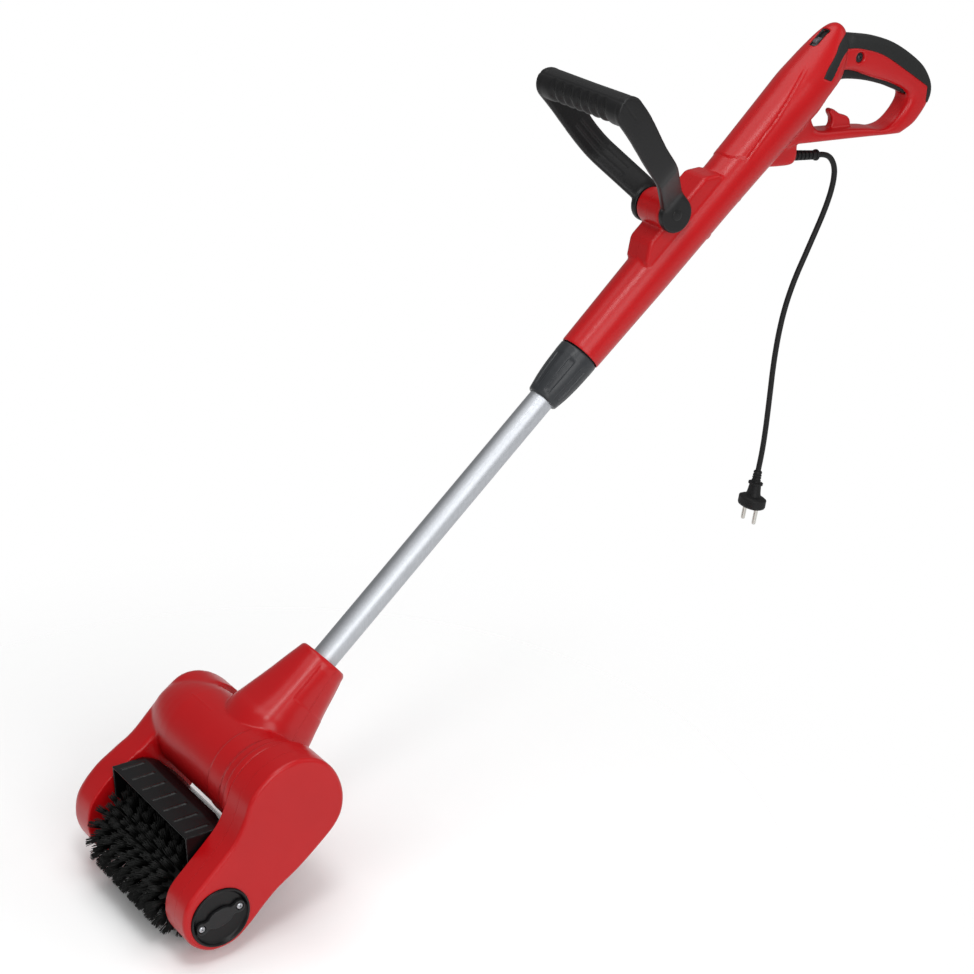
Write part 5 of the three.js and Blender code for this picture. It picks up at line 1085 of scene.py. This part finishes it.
# The strain relief is a soft rubber sleeve moulded round the flex. Its flange is held in the cable
# boss, and six cut rings let it bend.
relief_turn = math.radians(42)
relief_start = np.array((0.044, 1.001))
relief_rows = [(-0.0089, 0.0050), (-0.0089, 0.0078), (-0.0066, 0.0078), (-0.0064, 0.0056), (0.0060, 0.0057)]
for index in range(6):
    from_foot = 0.0075 + index * 0.0058
    wide = 0.0058 - 0.00012 * index
    cut = wide - 0.0011
    relief_rows += [(from_foot, cut), (from_foot + 0.0014, cut), (from_foot + 0.0017, wide),
                    (from_foot + 0.0054, wide)]
relief_rows += [(0.0440, 0.0050), (0.0443, 0.0059), (0.0449, 0.0063), (0.0464, 0.0063), (0.0470, 0.0058),
                (0.0470, 0.0034)]
relief_rows = np.array(relief_rows)[..., None, None]
circle = ring(1, 1, 2, 64)
relief_along = np.array((0, math.cos(relief_turn), math.sin(relief_turn)))
relief_up = np.array((0, -math.sin(relief_turn), math.cos(relief_turn)))
relief_grid = (np.array((0, *relief_start)) + relief_rows[:, 0] * relief_along
               + relief_rows[:, 1] * (circle[:, :1] * (1, 0, 0) + circle[:, 1:] * relief_up))
relief = skin("relief_sleeve", relief_grid)
dress(settle(relief), flex_rubber, "handle", "rubber", "strain_relief")


# The lock is a small moulded black slide with a polished thumb knob. Its mid grey, with pale rubbed edges, is
# a painted highlight on that knob. It runs in a black tray that is let into the recess on the dome.
# Painted highlight: these greys stand in for the light on a black slide's glossy knob.
slide_painted_highlight = moulded("slide_painted_highlight", (66, 67, 70), (92, 94, 97), (176, 178, 182),
                     roughness=(0.1, 0.2), grain=700, depth=0.00005)
tray_floor = slot_floor + 0.0006
tray_line = np.array([(-0.0272, 0), (tray_floor, 0), (tray_floor, 0.0240), (-0.0272, 0.0240)])
room_line = np.array([(-0.05, 0.0003), (slot_floor, 0.0003), (slot_floor, 0.0237), (-0.05, 0.0237)])
tray_room = plate("tray_room", room_line + (0, slot_start), -0.0045, 0.0045)
tray = carve(plate("slide_tray", tray_line + (0, slot_start), -0.0052, 0.0052), [tray_room])
dress(settle(tray), nylon_black, "handle", "black_plastic")
discard(tray_room)
slot_corner = np.array((slot_floor, slot_start))
base_line = slot_corner + [(-0.0018, 0.0003), (-0.0003, 0.0003), (-0.0003, 0.0133), (-0.0018, 0.0133)]
slide_base = plate("slide_base", base_line, -0.0042, 0.0042)
knob_line = curve(slot_corner + [(-0.001, 0.0034), (-0.0042, 0.0036), (-0.0054, 0.0052), (-0.0050, 0.0078),
                                 (-0.0036, 0.0098), (-0.001, 0.0101)], 48, closed=True)
knob = plate("knob", knob_line, -0.0030, 0.0030, 0.0010)
slide = fuse("slide", [slide_base, knob], 0.0004, 2)
dress(settle(slide), slide_painted_highlight, "lock", "black_plastic", "lock_slide")


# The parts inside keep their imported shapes: the motor's copper and laminations, the carbon brushes,
# bearings, pulleys and belt, and the switch gear. Each class has its own finish.
copper_wire = drawn_metal("copper_wire", (150, 84, 46), (186, 112, 66), (0.3, 0.42))
ground_steel = drawn_metal("ground_steel", (140, 142, 146), (178, 180, 184), (0.26, 0.4))
carbon_block = moulded("carbon_block", (36, 36, 38), (52, 52, 54), (80, 80, 82),
                       roughness=(0.6, 0.75), grain=1200, depth=0.0001)
belt_rubber = moulded("belt_rubber", (24, 24, 25), (34, 34, 35), (60, 60, 60),
                      roughness=(0.6, 0.75), grain=900, depth=0.0001)
inside_finish = {
    "copper": copper_wire, "steel": ground_steel, "carbon": carbon_block, "rubber": belt_rubber,
    "black_plastic": roller_black, "grey_plastic": charcoal, "brass": pin_plate, "aluminium": tube_metal,
    "red_plastic": red_shell, "soft_grip": soft_black, "bristle": bristle_nylon}
for row in frame["record"]["subparts"]:
    packed = nodes[row["node"]]
    for place in packed.material_slots:
        place.material = inside_finish[row["material_slot"]]


# The studio has a wide pale floor that fades out behind the brush, a soft panel overhead, a key panel
# beside the camera and weaker ones in front and on the far side. The world is a plain pale fill that
# the camera and glass see as white.
floor_level, floor_half = -0.7408, 14.0
floor_ends = (-floor_half, floor_half)
floor = skin("floor", np.array([[[x, y, floor_level] for x in floor_ends] for y in floor_ends]), around=False)
floor_paint = bpy.data.materials.new("floor_paint")
floor_paint.use_nodes = True
floor_tree = floor_paint.node_tree
floor_shader = floor_tree.nodes["Principled BSDF"]
spot, away, fade, clear, layers, path, seen = nodes_in(
    floor_tree, "TexCoord", "VectorMath", "MapRange", "BsdfTransparent", "MixShader", "LightPath", "Math")
away.operation, seen.operation, fade.interpolation_type = "DISTANCE", "MULTIPLY", "SMOOTHSTEP"
dial(floor_shader, {"Base Color": (0.98, 0.98, 0.98, 1), "Roughness": 0.9, "Specular IOR Level": 0.1})
dial(away, {1: (0.0, -0.86, floor_level)})
dial(fade, {"From Min": 0.18, "From Max": 0.8})
wire(floor_tree, (spot, "Object", away, 0), (away, "Value", fade, "Value"), (fade, "Result", seen, 0),
     (path, "Is Camera Ray", seen, 1), (seen, "Value", layers, "Fac"), (floor_shader, "BSDF", layers, 1),
     (clear, "BSDF", layers, 2), (layers, "Shader", floor_tree.nodes["Material Output"], "Surface"))
floor.data.materials.append(floor_paint)

world = bpy.data.worlds.new("studio")
world.use_nodes = True
bpy.context.scene.world = world
world_tree = world.node_tree
backdrop = world_tree.nodes["Background"]
seen_white, either, studio_mix, sight = nodes_in(world_tree, "Background", "Math", "MixShader", "LightPath")
either.operation = "MAXIMUM"
dial(backdrop, {"Color": (1, 1, 1, 1), "Strength": 0.29})
dial(seen_white, {"Color": (1, 1, 1, 1)})
wire(world_tree, (sight, "Is Camera Ray", either, 0), (sight, "Is Transmission Ray", either, 1),
     (either, "Value", studio_mix, "Fac"), (backdrop, "Background", studio_mix, 1),
     (seen_white, "Background", studio_mix, 2),
     (studio_mix, "Shader", world_tree.nodes["World Output"], "Surface"))


def panel(name, place, aim, size, power):
    """A soft square lamp at place that faces aim."""
    lamp = bpy.data.lights.new(name, "AREA")
    lamp.shape, lamp.size, lamp.energy = "SQUARE", size, power
    made = placed(name, lamp)
    toward = np.array(aim) - np.array(place)
    flat = math.hypot(toward[0], toward[1])
    made.location = place
    made.rotation_euler = (math.atan2(flat, -toward[2]), 0, math.atan2(-toward[0], toward[1]))


tool_middle = (0.0, -0.45, -0.3)
panel("overhead", (-0.3, -0.6, 2.3), tool_middle, 2.2, 36)
panel("key", (2.5, -1.2, 0.7), tool_middle, 1.8, 40)
panel("shine", (1.0, -1.15, 1.66), tool_middle, 0.6, 14)
panel("front_fill", (0.9, -3.0, 0.9), tool_middle, 1.6, 7)
panel("far_side", (1.6, 1.9, 1.2), tool_middle, 2.2, 15)
